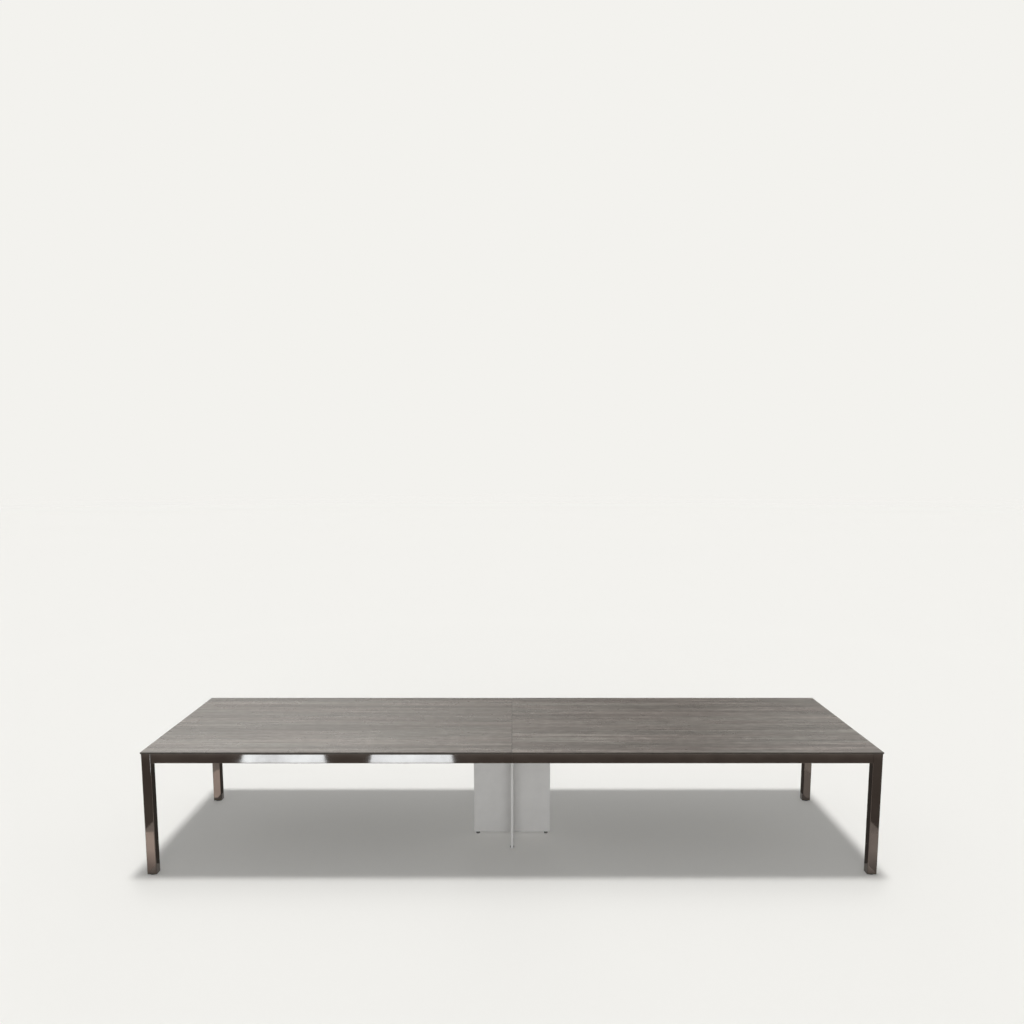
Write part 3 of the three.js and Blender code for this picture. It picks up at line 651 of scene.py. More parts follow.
def wood_decor():
    material, tree, shader = new_material("wood_grain_decor")
    line = grain_line(tree)
    tone, finest = grain_tone(tree, line)
    tone = spread(tree, tone, GRAIN_MIDDLE - GRAIN_SPREAD, GRAIN_MIDDLE + GRAIN_SPREAD)
    warmth = spread(tree, stretched_noise(tree, line, WARM_PATCHES, detail=2.0), *WARM_RANGE)
    tint = ramp(tree, warmth, (0.0, COOL_TINT), (1.0, WARM_TINT))
    tinted = blend(tree, 1.0, ramp(tree, tone, *DECOR_TONES), tint, "MULTIPLY")
    pore = spread(tree, stretched_noise(tree, line, PORES, detail=2.0), *PORE_RANGE)
    smudges = use_group(tree, MARKS, smudge_scale=3.0)["Smudges"]
    rough = added(tree, DECOR_ROUGHNESS, pore, PORE_DULLING)
    relief = calc(tree, "SUBTRACT", calc(tree, "MULTIPLY", finest, LINE_HEIGHT), pore)
    link(
        tree, shader,
        base_color=tinged(tree, tinted, pore, PORE_SHARE, PORE_TONE),
        roughness=added(tree, rough, smudges, DECOR_SMUDGE),
        normal=bump(tree, relief, DECOR_RELIEF),
    )
    return material


WOOD_DECOR = wood_decor()
print("finish:", WOOD_DECOR.name)

# %% [markdown]
# Under the decor the board is a dense dark core of pressed paper, which shows as the thin dark line round
# the top. A plain dark brown would pass from afar. Up close the layers show, so a sine across the thickness
# adds a fine ripple to the mottling.

# %% Dark core
NOISE_SPAN = (0.3, 0.7)
LAYERS_PER_METRE = 1800.0
LAYER_RIPPLE = 0.12
CORE_TONES = paint(58, 53, 48), paint(76, 71, 65)
CORE_ROUGHNESS = (0.42, 0.56)
CORE_RELIEF = 0.00004


def mottled(tree, value, dark, pale):
    """Two near tones mixed by a noise, which seldom leaves the middle of its range."""
    return blend(tree, spread(tree, value, *NOISE_SPAN), dark, pale)


def dark_core():
    material, tree, shader = new_material("dark_core")
    level = split(tree, own_place(tree))["Z"]
    ripple = calc(tree, "SINE", calc(tree, "MULTIPLY", level, LAYERS_PER_METRE * math.tau))
    grain = use_group(tree, GRAIN, scale=1400.0)
    link(
        tree, shader,
        base_color=mottled(tree, added(tree, grain["Mottle"], ripple, LAYER_RIPPLE), *CORE_TONES),
        roughness=spread(tree, grain["Mottle"], *NOISE_SPAN, *CORE_ROUGHNESS),
        normal=bump(tree, grain["Height"], CORE_RELIEF),
    )
    return material


DARK_CORE = dark_core()
print("finish:", DARK_CORE.name)

# %% [markdown]
# The underside has a plain grey backing sheet that keeps the board flat. It has a fine pebbled skin and a
# few pale scuffs from handling, so the shared grain and marks are all it needs.

# %% Backing sheet
BACKING_TONES = paint(126, 122, 116), paint(138, 134, 128)
BACKING_SCUFF, BACKING_SCUFF_SHARE = paint(158, 154, 148), 0.2
BACKING_ROUGHNESS = 0.5
BACKING_SMUDGE = 0.12
BACKING_RELIEF = 0.00005


def backing_sheet():
    material, tree, shader = new_material("backing_sheet")
    grain = use_group(tree, GRAIN, scale=600.0)
    marks = use_group(tree, MARKS, smudge_scale=5.0)
    tone = mottled(tree, grain["Mottle"], *BACKING_TONES)
    link(
        tree, shader,
        base_color=tinged(tree, tone, marks["Scratches"], BACKING_SCUFF_SHARE, BACKING_SCUFF),
        roughness=added(tree, BACKING_ROUGHNESS, marks["Smudges"], BACKING_SMUDGE),
        normal=bump(tree, grain["Height"], BACKING_RELIEF),
    )
    return material


BACKING_SHEET = backing_sheet()
print("finish:", BACKING_SHEET.name)

# %% [markdown]
# The frame is steel tube, polished and plated in a dark brown chrome. It is a true mirror, so its colour is
# only the tint of its reflections. A perfect mirror looks unreal: smudges dull it here and there, dust
# greys it near the floor, and a very slight unevenness makes long reflections waver. Welded-on plates are
# plated with the tube but not polished, so they take the same finish with a duller surface.

# %% Dark chrome
CHROME_TONES = paint(101, 92, 87), paint(111, 102, 96)
CHROME_DUST, CHROME_DUST_SHARE = paint(126, 120, 112), 0.3
DUST_DULLING = 0.25
WAVE_DEPTH = 0.00012


def dark_chrome(name, gloss, dull):
    material, tree, shader = new_material(name)
    spot = own_place(tree)
    marks = use_group(tree, MARKS, smudge_scale=9.0)
    dust = use_group(tree, DUST, reach=0.06)["Dust"]
    tint = mottled(tree, noise(tree, spot, scale=7.0, detail=3.0), *CHROME_TONES)
    rough = added(tree, gloss, marks["Smudges"], dull)
    rough = added(tree, rough, marks["Scratches"], dull)
    waves = noise(tree, spot, scale=9.0, detail=1.0)
    link(
        tree, shader,
        base_color=tinged(tree, tint, dust, CHROME_DUST_SHARE, CHROME_DUST),
        roughness=added(tree, rough, dust, DUST_DULLING),
        normal=bump(tree, waves, WAVE_DEPTH),
    )
    shader.inputs["Metallic"].default_value = 1.0
    return material


DARK_CHROME = dark_chrome("polished_dark_chrome", gloss=0.05, dull=0.05)
DULL_CHROME = dark_chrome("unpolished_dark_chrome", gloss=0.26, dull=0.12)
print("finishes:", DARK_CHROME.name, DULL_CHROME.name)

# %% [markdown]
# The crossing panels are chipboard under a light melamine film with the faint peel of a pressed surface.
# They are nearly one tone, and a single colour would look like paper. A slight mottling, some scuffs and a
# little dust along the lower edge keep them from that.

# %% Light board
FILM_TONES = paint(219, 218, 216), paint(225, 224, 222)
FILM_SCUFF, FILM_SCUFF_SHARE = paint(176, 173, 168), 0.1
FILM_DUST, FILM_DUST_SHARE = paint(170, 163, 152), 0.12
FILM_ROUGHNESS = 0.4
FILM_SMUDGE = 0.1
FILM_SHEEN = 0.4
FILM_PEEL = 0.00003


def light_board():
    material, tree, shader = new_material("light_board")
    grain = use_group(tree, GRAIN, scale=420.0)
    marks = use_group(tree, MARKS, smudge_scale=7.0)
    dust = use_group(tree, DUST, reach=0.05)["Dust"]
    tone = mottled(tree, grain["Mottle"], *FILM_TONES)
    scuffed = tinged(tree, tone, marks["Scratches"], FILM_SCUFF_SHARE, FILM_SCUFF)
    link(
        tree, shader,
        base_color=tinged(tree, scuffed, dust, FILM_DUST_SHARE, FILM_DUST),
        roughness=added(tree, FILM_ROUGHNESS, marks["Smudges"], FILM_SMUDGE),
        normal=bump(tree, grain["Height"], FILM_PEEL),
    )
    shader.inputs["Specular IOR Level"].default_value = FILM_SHEEN
    return material


LIGHT_BOARD = light_board()
print("finish:", LIGHT_BOARD.name)

# %% [markdown]
# Screws, studs, brackets and the head plate are zinc plated steel. A thin plating shows a faint blue and
# yellow cast. That comes from interference, which would be hard to work out, so a ramp over a broad noise
# gives the two casts instead.

# %% Zinc plating
ZINC_CASTS = ((0.0, paint(172, 177, 186)), (0.5, paint(186, 188, 189)), (1.0, paint(193, 188, 172)))
ZINC_ROUGHNESS = 0.24
ZINC_SMUDGE = 0.16
ZINC_SCRATCH = 0.15
ZINC_RELIEF = 0.00001


def zinc_steel():
    material, tree, shader = new_material("zinc_steel")
    marks = use_group(tree, MARKS, smudge_scale=60.0)
    cast = noise(tree, own_place(tree), scale=35.0, detail=3.0)
    rough = added(tree, ZINC_ROUGHNESS, marks["Smudges"], ZINC_SMUDGE)
    fine = use_group(tree, GRAIN, scale=1600.0)["Height"]
    link(
        tree, shader,
        base_color=ramp(tree, spread(tree, cast, *NOISE_SPAN), *ZINC_CASTS),
        roughness=added(tree, rough, marks["Scratches"], ZINC_SCRATCH),
        normal=bump(tree, fine, ZINC_RELIEF),
    )
    shader.inputs["Metallic"].default_value = 1.0
    return material


ZINC_STEEL = zinc_steel()
print("finish:", ZINC_STEEL.name)

# %% [markdown]
# The joiners and splices inside the frame are cast alloy, straight from the mould. Such a skin is grainy
# and dull, and both its tone and its gloss follow the same mottling, so one shared group drives all three.

# %% Cast alloy
ALLOY_TONES = paint(138, 140, 142), paint(164, 166, 168)
ALLOY_ROUGHNESS = (0.42, 0.58)
ALLOY_RELIEF = 0.00012


def cast_alloy():
    material, tree, shader = new_material("cast_alloy")
    grain = use_group(tree, GRAIN, scale=700.0)
    link(
        tree, shader,
        base_color=mottled(tree, grain["Mottle"], *ALLOY_TONES),
        roughness=spread(tree, grain["Mottle"], *NOISE_SPAN, *ALLOY_ROUGHNESS),
        normal=bump(tree, grain["Height"], ALLOY_RELIEF),
    )
    shader.inputs["Metallic"].default_value = 1.0
    return material


CAST_ALLOY = cast_alloy()
print("finish:", CAST_ALLOY.name)

# %% [markdown]
# The feet and the plugs are black moulded plastic and the glides grey, both matt, and dusty where they
# touch the floor. They differ in tone only, so one function makes both.

# %% Moulded plastic
PLASTIC_ROUGHNESS = (0.5, 0.62)
PLASTIC_DUST, PLASTIC_DUST_SHARE = paint(122, 116, 108), 0.35
PLASTIC_DUST_DULLING = 0.2
PLASTIC_RELIEF = 0.00006


def moulded_plastic(name, dark, pale):
    material, tree, shader = new_material(name)
    grain = use_group(tree, GRAIN, scale=1100.0)
    dust = use_group(tree, DUST, reach=0.012)["Dust"]
    tone = mottled(tree, grain["Mottle"], dark, pale)
    rough = spread(tree, grain["Mottle"], *NOISE_SPAN, *PLASTIC_ROUGHNESS)
    link(
        tree, shader,
        base_color=tinged(tree, tone, dust, PLASTIC_DUST_SHARE, PLASTIC_DUST),
        roughness=added(tree, rough, dust, PLASTIC_DUST_DULLING),
        normal=bump(tree, grain["Height"], PLASTIC_RELIEF),
    )
    return material


BLACK_PLASTIC = moulded_plastic("black_plastic", paint(27, 26, 25), paint(38, 36, 34))
GREY_PLASTIC = moulded_plastic("grey_plastic", paint(104, 103, 101), paint(118, 116, 114))
print("finishes:", BLACK_PLASTIC.name, GREY_PLASTIC.name)

# %% [markdown]
# A machined or moulded edge is never quite sharp: it has a tiny round that catches the light. It could be
# modelled point by point, but a Bevel modifier rounds every sharp edge at once. The normals are then
# weighted by face area, so that large faces stay flat in a mirror and only the rounds bend. Both modifiers
# are baked, because a finished piece is a plain mesh at the origin.

# %% Rounded edges
SHARP_ANGLE = math.radians(38.0)
ROUNDING_STEPS = 2
FULL_WEIGHT = 100


def baked(holder):
    """The plain mesh that an object's modifiers make of it. The object itself goes."""
    graph = bpy.context.evaluated_depsgraph_get()
    evaluated = holder.evaluated_get(graph)
    mesh = bpy.data.meshes.new_from_object(evaluated, preserve_all_data_layers=True, depsgraph=graph)
    bpy.data.objects.remove(holder)
    return mesh


def settled(mesh, rounding=0.0):
    """The mesh with its sharp edges rounded, if asked, and its normals weighted by face area."""
    mesh.polygons.foreach_set("use_smooth", [True] * len(mesh.polygons))
    if not rounding:
        mesh.set_sharp_from_angle(angle=SHARP_ANGLE)
    holder = linked("holder", mesh)
    if rounding:
        edge = holder.modifiers.new("edge", "BEVEL")
        edge.width = rounding
        edge.segments = ROUNDING_STEPS
        edge.limit_method = "ANGLE"
        edge.angle_limit = SHARP_ANGLE
    weighted = holder.modifiers.new("weighted", "WEIGHTED_NORMAL")
    weighted.weight = FULL_WEIGHT
    weighted.keep_sharp = True
    return baked(holder)


print("edges sharper than", round(math.degrees(SHARP_ANGLE)), "degrees are rounded")

# %% [markdown]
# Many pieces already have the right form as solids of the construction. They could be modelled again, but a
# copy can't differ in size. A solid's faces come as triangles, so points that coincide are merged and flat
# neighbours joined to one face first, which leaves the Bevel only the real edges. A finished piece is then
# put on its body and takes the place of the solids that it stands for.

# %% Softened copies
MERGE_DISTANCE = 1e-6
FLAT_ANGLE = math.radians(1.0)


def softened(node, rounding, material):
    """A copy of one of the construction's solids with its sharp edges rounded."""
    solid = bmesh.new()
    solid.from_mesh(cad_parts[node].data)
    bmesh.ops.remove_doubles(solid, verts=solid.verts, dist=MERGE_DISTANCE)
    bmesh.ops.dissolve_limit(solid, angle_limit=FLAT_ANGLE, verts=solid.verts, edges=solid.edges)
    mesh = bpy.data.meshes.new(node)
    solid.to_mesh(mesh)
    solid.free()
    mesh.materials.append(material)
    return settled(mesh, rounding)


def show(name, mesh, body, slot, *nodes):
    """Puts a finished mesh on its body, in place of the construction's own solids."""
    piece = linked(name, mesh)
    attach(piece, body)
    if nodes:
        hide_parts(*nodes)


print("copies: faces within", round(math.degrees(FLAT_ANGLE)), "degree of each other become one")

# %% [markdown]
# The top is two boards that meet at the middle. Both are softened copies. One solid then needs three
# finishes: decor on the upper face, the bare core on the edges, and the backing below. Three separate
# sheets would show gaps between them, so the way each face points decides which finish it gets.

# %% Top
TOP_ROUNDING = 0.0004
FACING = 0.9

for side in ("left", "right"):
    board = softened(f"top_{side}", TOP_ROUNDING, WOOD_DECOR)
    board.materials.append(DARK_CORE)
    board.materials.append(BACKING_SHEET)
    for face in board.polygons:
        face.material_index = 0 if face.normal.z > FACING else 2 if face.normal.z < -FACING else 1
    show(f"top_board_{side}", board, "table", "top_laminate", f"top_{side}")
    print("top board", side, len(board.polygons), "faces")

# %% [markdown]
# Geometry Nodes grow what follows a rule, such as a tube or a row of screws. A loop that writes every
# corner would do the same, but a tree can be opened and changed by hand. Its sizes are named inputs, which
# each use fills in. The helpers start a tree, move and join shapes, and end it with real geometry that has
# its finish.

# %% Tree helpers
def new_tree(name, *sizes, counts=()):
    """An empty tree that takes a base mesh, named sizes and counts, and a material."""
    tree = bpy.data.node_groups.new(name, "GeometryNodeTree")
    tree.is_modifier = True
    tree.interface.new_socket("Base", in_out="INPUT", socket_type="NodeSocketGeometry")
    for size in sizes:
        tree.interface.new_socket(size, in_out="INPUT", socket_type="NodeSocketFloat")
    for count in counts:
        tree.interface.new_socket(count, in_out="INPUT", socket_type="NodeSocketInt")
    tree.interface.new_socket("Finish", in_out="INPUT", socket_type="NodeSocketMaterial")
    tree.interface.new_socket("Piece", in_out="OUTPUT", socket_type="NodeSocketGeometry")
    return tree, place(tree, "NodeGroupInput").outputs


def end_tree(tree, given, geometry):
    """Makes instances real, gives them their finish and ends the tree."""
    real = place(tree, "GeometryNodeRealizeInstances", {0: geometry}).outputs[0]
    finish = {"Geometry": real, "Material": given["Finish"]}
    place(tree, "NodeGroupOutput", {0: place(tree, "GeometryNodeSetMaterial", finish).outputs[0]})
    return tree


def joined(tree, *shapes):
    """Several shapes as one."""
    node = place(tree, "GeometryNodeJoinGeometry")
    for shape in shapes:
        tree.links.new(shape, node.inputs[0])
    return node.outputs[0]


def moved(tree, shape, **step):
    """A shape moved along X, Y or Z."""
    inputs = {"Geometry": shape, "Translation": vector(tree, **step)}
    return place(tree, "GeometryNodeTransform", inputs).outputs[0]


print("tree helpers: new_tree, end_tree, joined and moved")

# %% [markdown]
# A tree is fed a small base mesh: the points that something sits on, the path that it follows, or the
# shapes to cut away. It could stay on the object as a modifier. It is run once to a plain mesh instead, so
# that the finished piece needs no tree any more. A modifier's input is set by its socket's identifier,
# which is looked up by name.

# %% Growing a tree
def base_mesh(points=(), edges=(), faces=(), **attributes):
    """A small mesh for a tree to start from, with vectors stored on its points by name."""
    mesh = bpy.data.meshes.new("base")
    mesh.from_pydata([tuple(point) for point in points], list(edges), list(faces))
    for name, values in attributes.items():
        stored = mesh.attributes.new(name, "FLOAT_VECTOR", "POINT")
        for item, value in zip(stored.data, values):
            item.vector = value
    return mesh


def grow(tree, base, material, **sizes):
    """Runs a tree on a base mesh, with its sizes set by name, and returns a plain mesh."""
    holder = linked(tree.name, base)
    growth = holder.modifiers.new(tree.name, "NODES")
    growth.node_group = tree
    values = {size.replace("_", " ").title(): value for size, value in sizes.items()}
    values["Finish"] = material
    for socket in tree.interface.items_tree:
        if socket.in_out == "INPUT" and socket.name in values:
            growth[socket.identifier] = values[socket.name]
    return baked(holder)


print("growing helpers: base_mesh and grow")

# %% [markdown]
# Legs and beams are drawn steel tube: a rounded rectangle with a wall, pulled out to length. A bevelled box
# with a Solidify modifier would come close, but it leaves no say over the inner corners. The tree draws the
# outside and the inside of the section as two filleted curves, fills the ring between them and extrudes it.
# What comes in as the base mesh is cut away, which makes the notches at the head of a leg.

# %% Tube tree
def difference(tree, first, second):
    """One size less another."""
    return calc(tree, "SUBTRACT", first, second)


def filleted(tree, width, height, corner, steps):
    """A rectangle with round corners, as a curve."""
    sides = {"Width": width, "Height": height}
    plain = place(tree, "GeometryNodeCurvePrimitiveQuadrilateral", sides).outputs[0]
    inputs = {"Curve": plain, "Count": steps, "Radius": corner}
    return place(tree, "GeometryNodeFilletCurve", inputs, mode="POLY").outputs[0]


def raised(tree, flat, height):
    """A flat outline lifted into a closed solid."""
    inputs = {"Mesh": flat, "Offset": vector(tree, Z=height), "Individual": False}
    walls = place(tree, "GeometryNodeExtrudeMesh", inputs).outputs["Mesh"]
    bottom = place(tree, "GeometryNodeFlipFaces", {"Mesh": flat}).outputs[0]
    both = {"Geometry": joined(tree, walls, bottom), "Distance": MERGE_DISTANCE}
    return place(tree, "GeometryNodeMergeByDistance", both).outputs[0]


def cut(tree, body, tool):
    """A body with a tool's shape cut out of it."""
    inputs = {"Mesh 1": body, "Mesh 2": tool}
    return place(tree, "GeometryNodeMeshBoolean", inputs, operation="DIFFERENCE", solver="EXACT").outputs[0]


def tube_tree():
    tree, given = new_tree("drawn_tube", "Length", "Width", "Height", "Corner", "Wall", counts=["Steps"])
    walls = calc(tree, "MULTIPLY", given["Wall"], 2.0)
    inner_width = difference(tree, given["Width"], walls)
    inner_height = difference(tree, given["Height"], walls)
    inner_corner = difference(tree, given["Corner"], given["Wall"])
    outside = filleted(tree, given["Width"], given["Height"], given["Corner"], given["Steps"])
    inside = filleted(tree, inner_width, inner_height, inner_corner, given["Steps"])
    ring = place(tree, "GeometryNodeFillCurve", {0: joined(tree, outside, inside)}).outputs[0]
    blank = raised(tree, ring, given["Length"])
    return end_tree(tree, given, cut(tree, blank, given["Base"]))


TUBE = tube_tree()
print("tree:", TUBE.name, len(TUBE.nodes), "nodes")

# %% [markdown]
# A leg stands on its plug and reaches up to the boards. Two of its walls are notched at the top, where the
# arms of the corner joiner pass into the beams. Each leg could be built in its own corner. It is easier to
# make it upright at the origin, with its notches always on the same sides, and then to turn it to its
# corner.

# %% Legs
TUBE_WALL = 0.0025
TUBE_STEPS = 8
LEG_CORNER = 0.005
RAIL_WIDTH = 0.040
PAST = 0.001
CORNER_TURNS = {"front_left": 0, "front_right": 1, "rear_right": 2, "rear_left": 3}
QUARTER_TURN = math.pi / 2


def block_mesh(*spans):
    """A mesh of blocks, each given by its lowest and its highest corner."""
    points, faces = [], []
    for (x0, y0, z0), (x1, y1, z1) in spans:
        first = len(points)
        points += [(x, y, z) for z in (z0, z1) for x, y in rectangle(x0, y0, x1, y1)]
        sides = [(a, (a + 1) % 4, (a + 1) % 4 + 4, a + 4) for a in range(4)]
        faces += [[first + corner for corner in face] for face in ((3, 2, 1, 0), (4, 5, 6, 7), *sides)]
    return base_mesh(points, faces=faces)


def notch_cutters(size, height, rail_base):
    """The two boxes that notch a leg whose base stands at the origin."""
    inside, outside = size / 2 - 2 * TUBE_WALL, size / 2 + PAST
    cavity = RAIL_WIDTH - 2 * TUBE_WALL
    middle = (RAIL_WIDTH - size) / 2
    near, far = middle - cavity / 2, middle + cavity / 2
    long_notch = (inside, near, rail_base), (outside, far, height + PAST)
    short_notch = (near, inside, rail_base), (far, outside, height + PAST)
    return block_mesh(long_notch, short_notch)


rail_low, rail_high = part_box("front_rail_left")
for corner, quarter in CORNER_TURNS.items():
    low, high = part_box(f"leg_{corner}")
    size, tall = high.x - low.x, high.z - low.z
    cutters = notch_cutters(size, tall, rail_low.z + TUBE_WALL - low.z)
    leg = grow(
        TUBE, cutters, DARK_CHROME,
        length=tall, width=size, height=size, corner=LEG_CORNER, wall=TUBE_WALL, steps=TUBE_STEPS,
    )
    middle = (low + high) / 2
    stand = Matrix.Translation((middle.x, middle.y, low.z))
    leg.transform(stand @ Matrix.Rotation(quarter * QUARTER_TURN, 4, "Z"))
    show(f"leg_tube_{corner}", settled(leg), "table", "dark_chrome", f"leg_{corner}")
    print("leg", corner, [round(v, 4) for v in middle], len(leg.polygons), "faces")

# %% [markdown]
# The beams are the same tube, laid down. The long beams are in half lengths that meet at the middle over a
# hidden splice. Three crossbars between them carry the top, and the middle one carries the panels too. Each
# bar has its own frame, with X along it and Y to the inside of the table, so that whatever is welded to it
# can be placed the same way on all of them. Only the quarter turn differs from bar to bar.

# %% Beams and crossbars
RAIL_CORNER = 0.004
RAIL_HEIGHT = rail_high.z - rail_low.z
END_PLATE = 0.004
CROSSBARS = ("crossbar_left", "crossbar_centre", "crossbar_right")
BAR_TURNS = {
    "front_rail_left": 0, "front_rail_right": 0, "rear_rail_left": 2, "rear_rail_right": 2,
    "end_rail_left": -1, "end_rail_right": 1, **dict.fromkeys(CROSSBARS, 1),
}


def bar_place(node, quarter):
    """A bar's own frame, which starts at its end on the centre line, and its length."""
    low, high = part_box(node)
    turn = Matrix.Rotation(quarter * QUARTER_TURN, 4, "Z")
    along, inward = turn.col[0].xyz, turn.col[1].xyz
    length = abs((high - low).dot(along))
    if node in CROSSBARS:
        start = Vector(((low.x + high.x) / 2, low.y + END_PLATE, low.z))
        return Matrix.Translation(start) @ turn, length - 2 * END_PLATE
    way = along + inward
    outer = Vector((low.x if way.x > 0 else high.x, low.y if way.y > 0 else high.y, low.z))
    return Matrix.Translation(outer + inward * RAIL_WIDTH / 2) @ turn, length


BARS = {node: bar_place(node, quarter) for node, quarter in BAR_TURNS.items()}
lie_down = Matrix.Translation((0, 0, RAIL_HEIGHT / 2)) @ Matrix.Rotation(QUARTER_TURN, 4, "Y")
for node, (stand, length) in BARS.items():
    bar = grow(
        TUBE, base_mesh(), DARK_CHROME, length=length, width=RAIL_HEIGHT, height=RAIL_WIDTH,
        corner=RAIL_CORNER, wall=TUBE_WALL, steps=TUBE_STEPS,
    )
    bar.transform(stand @ lie_down)
    show(f"{node}_tube", settled(bar), "table", "dark_chrome", node)
    print(node, "length", round(length, 4), len(bar.polygons), "faces")

# %% [markdown]
# The top is screwed to small tabs that are welded inside the beams and on both sides of the crossbars,
# level with the top of the tube. A tab is a plate with two round corners. A Bevel would round all four, so
# the tree gives the Fillet node a radius that depends on position and is zero at the tube. One tab is then
# set on every point, turned along the aim that is stored there.

# %% Tab tree
def aimed(tree, **axes):
    """The turn that points an axis along the aim stored on each point."""
    aim = place(tree, "GeometryNodeInputNamedAttribute", {"Name": "aim"}, data_type="FLOAT_VECTOR").outputs[0]
    return place(tree, "FunctionNodeAlignRotationToVector", {"Vector": aim}, **axes).outputs[0]


def sown(tree, points, shape, **turn):
    """A shape set on every point."""
    inputs = {"Points": points, "Instance": shape, **turn}
    return place(tree, "GeometryNodeInstanceOnPoints", inputs).outputs[0]


def tab_tree():
    tree, given = new_tree("fixing_tabs", "Length", "Reach", "Root", "Thickness", "Corner", counts=["Steps"])
    depth = calc(tree, "ADD", given["Reach"], given["Root"])
    where = split(tree, place(tree, "GeometryNodeInputPosition").outputs[0])
    outer = calc(tree, "GREATER_THAN", where["Y"], 0.0)
    radius = calc(tree, "MULTIPLY", outer, given["Corner"])
    outline = filleted(tree, given["Length"], depth, radius, given["Steps"])
    flat = place(tree, "GeometryNodeFillCurve", {0: outline}, mode="NGONS").outputs[0]
    forward = calc(tree, "DIVIDE", difference(tree, given["Reach"], given["Root"]), 2.0)
    tab = moved(tree, raised(tree, flat, given["Thickness"]), Y=forward)
    turn = aimed(tree, axis="Y", pivot_axis="Z")
    return end_tree(tree, given, sown(tree, given["Base"], tab, Rotation=turn))


TABS = tab_tree()
print("tree:", TABS.name, len(TABS.nodes), "nodes")

# %% [markdown]
# Each beam has two tabs on its inside and each crossbar two on either side, a quarter of the length from
# its ends. To type in every place would invite slips, so they are worked out in the bar's own frame. A
# screw goes through the middle of each tab.

# %% Fixing tabs
TAB_LENGTH = 0.040
TAB_REACH = 0.028
TAB_THICKNESS = 0.004
TAB_CORNER = 0.006
TAB_STEPS = 6
TAB_ROUNDING = 0.0005
TAB_SHARES = (0.25, 0.75)

tab_points, tab_aims, tab_screws = [], [], []
for node, (stand, length) in BARS.items():
    for side in (-1, 1) if node in CROSSBARS else (1,):
        for share in TAB_SHARES:
            foot = Vector((share * length, side * RAIL_WIDTH / 2, RAIL_HEIGHT - TAB_THICKNESS))
            aim = Vector((0, side, 0))
            tab_points.append(stand @ foot)
            tab_aims.append(stand.to_3x3() @ aim)
            tab_screws.append(stand @ (foot + aim * TAB_REACH / 2))
tabs = grow(
    TABS, base_mesh(tab_points, aim=tab_aims), DULL_CHROME, length=TAB_LENGTH, reach=TAB_REACH,
    root=TUBE_WALL, thickness=TAB_THICKNESS, corner=TAB_CORNER, steps=TAB_STEPS,
)
show("fixing_tabs", settled(tabs, TAB_ROUNDING), "table", "dark_chrome")
print("tabs:", len(tab_points))

# %% [markdown]
# Each crossbar ends in a plate that is bolted to the inside of a beam. The plates are thin blocks with worn
# edges. A tree would be too much for that, so they are boxes with rounded edges.

# %% Crossbar end plates
END_PLATE_WIDTH = 0.120
PLATE_ROUNDING = 0.0008

plates = []
for node in CROSSBARS:
    low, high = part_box(node)
    left, right = [(low.x + high.x + side * END_PLATE_WIDTH) / 2 for side in (-1, 1)]
    for near, far in ((low.y, low.y + END_PLATE), (high.y - END_PLATE, high.y)):
        plates.append(((left, near, low.z), (right, far, high.z)))
end_plates = block_mesh(*plates)
end_plates.materials.append(DULL_CHROME)
show("crossbar_end_plates", settled(end_plates, PLATE_ROUNDING), "table", "dark_chrome")
print("end plates:", len(plates))

# %% [markdown]
# A weld is a bead of small overlapping ripples. A bump map would leave its outline smooth, so the bead is
# real geometry. The tree turns the edges of the base mesh into curves, sets points along them every
# fraction of a millimetre, and sweeps a circle whose size swells and shrinks along the way.

# %% Weld tree
WELD_SIDES = 8
RIPPLE_STEPS = 4.0


def swept(tree, path, sides, radius, **scale):
    """A round bead along a path, closed at its ends."""
    bead = place(tree, "GeometryNodeCurvePrimitiveCircle", {"Resolution": sides, "Radius": radius}).outputs[0]
    inputs = {"Curve": path, "Profile Curve": bead, "Fill Caps": True, **scale}
    return place(tree, "GeometryNodeCurveToMesh", inputs).outputs[0]


def weld_tree():
    tree, given = new_tree("weld_beads", "Radius", "Ripple", "Depth")
    path = place(tree, "GeometryNodeMeshToCurve", {"Mesh": given["Base"]}).outputs[0]
    step = calc(tree, "DIVIDE", given["Ripple"], RIPPLE_STEPS)
    fine = place(tree, "GeometryNodeResampleCurve", {"Curve": path, "Length": step}, mode="LENGTH").outputs[0]
    along = place(tree, "GeometryNodeSplineParameter").outputs["Length"]
    turns = calc(tree, "MULTIPLY", calc(tree, "DIVIDE", along, given["Ripple"]), math.tau)
    swell = calc(tree, "MULTIPLY_ADD", calc(tree, "SINE", turns), given["Depth"], 1.0)
    return end_tree(tree, given, swept(tree, fine, WELD_SIDES, given["Radius"], Scale=swell))


WELDS = weld_tree()
print("tree:", WELDS.name, len(WELDS.nodes), "nodes")

# %% [markdown]
# Every tab has a bead along its root, and every crossbar one round each of its ends, where it meets its
# plate. Each could be an object of its own. All of them are edges of one base mesh instead, a single edge
# for a tab and a closed loop for a crossbar, so the tree runs only once.

# %% Weld beads
WELD_RADIUS = 0.0016
WELD_RIPPLE = 0.0022
WELD_DEPTH = 0.16
LOOP_STEPS = 4


def rounded_loop(width, height, corner):
    """Points round a rectangle with round corners."""
    points = []
    for quarter, (x, y) in enumerate(((1, 1), (-1, 1), (-1, -1), (1, -1))):
        for step in range(LOOP_STEPS + 1):
            angle = (quarter + step / LOOP_STEPS) * QUARTER_TURN
            across = x * (width / 2 - corner) + corner * math.cos(angle)
            up = y * (height / 2 - corner) + corner * math.sin(angle)
            points.append((across, up))
    return points


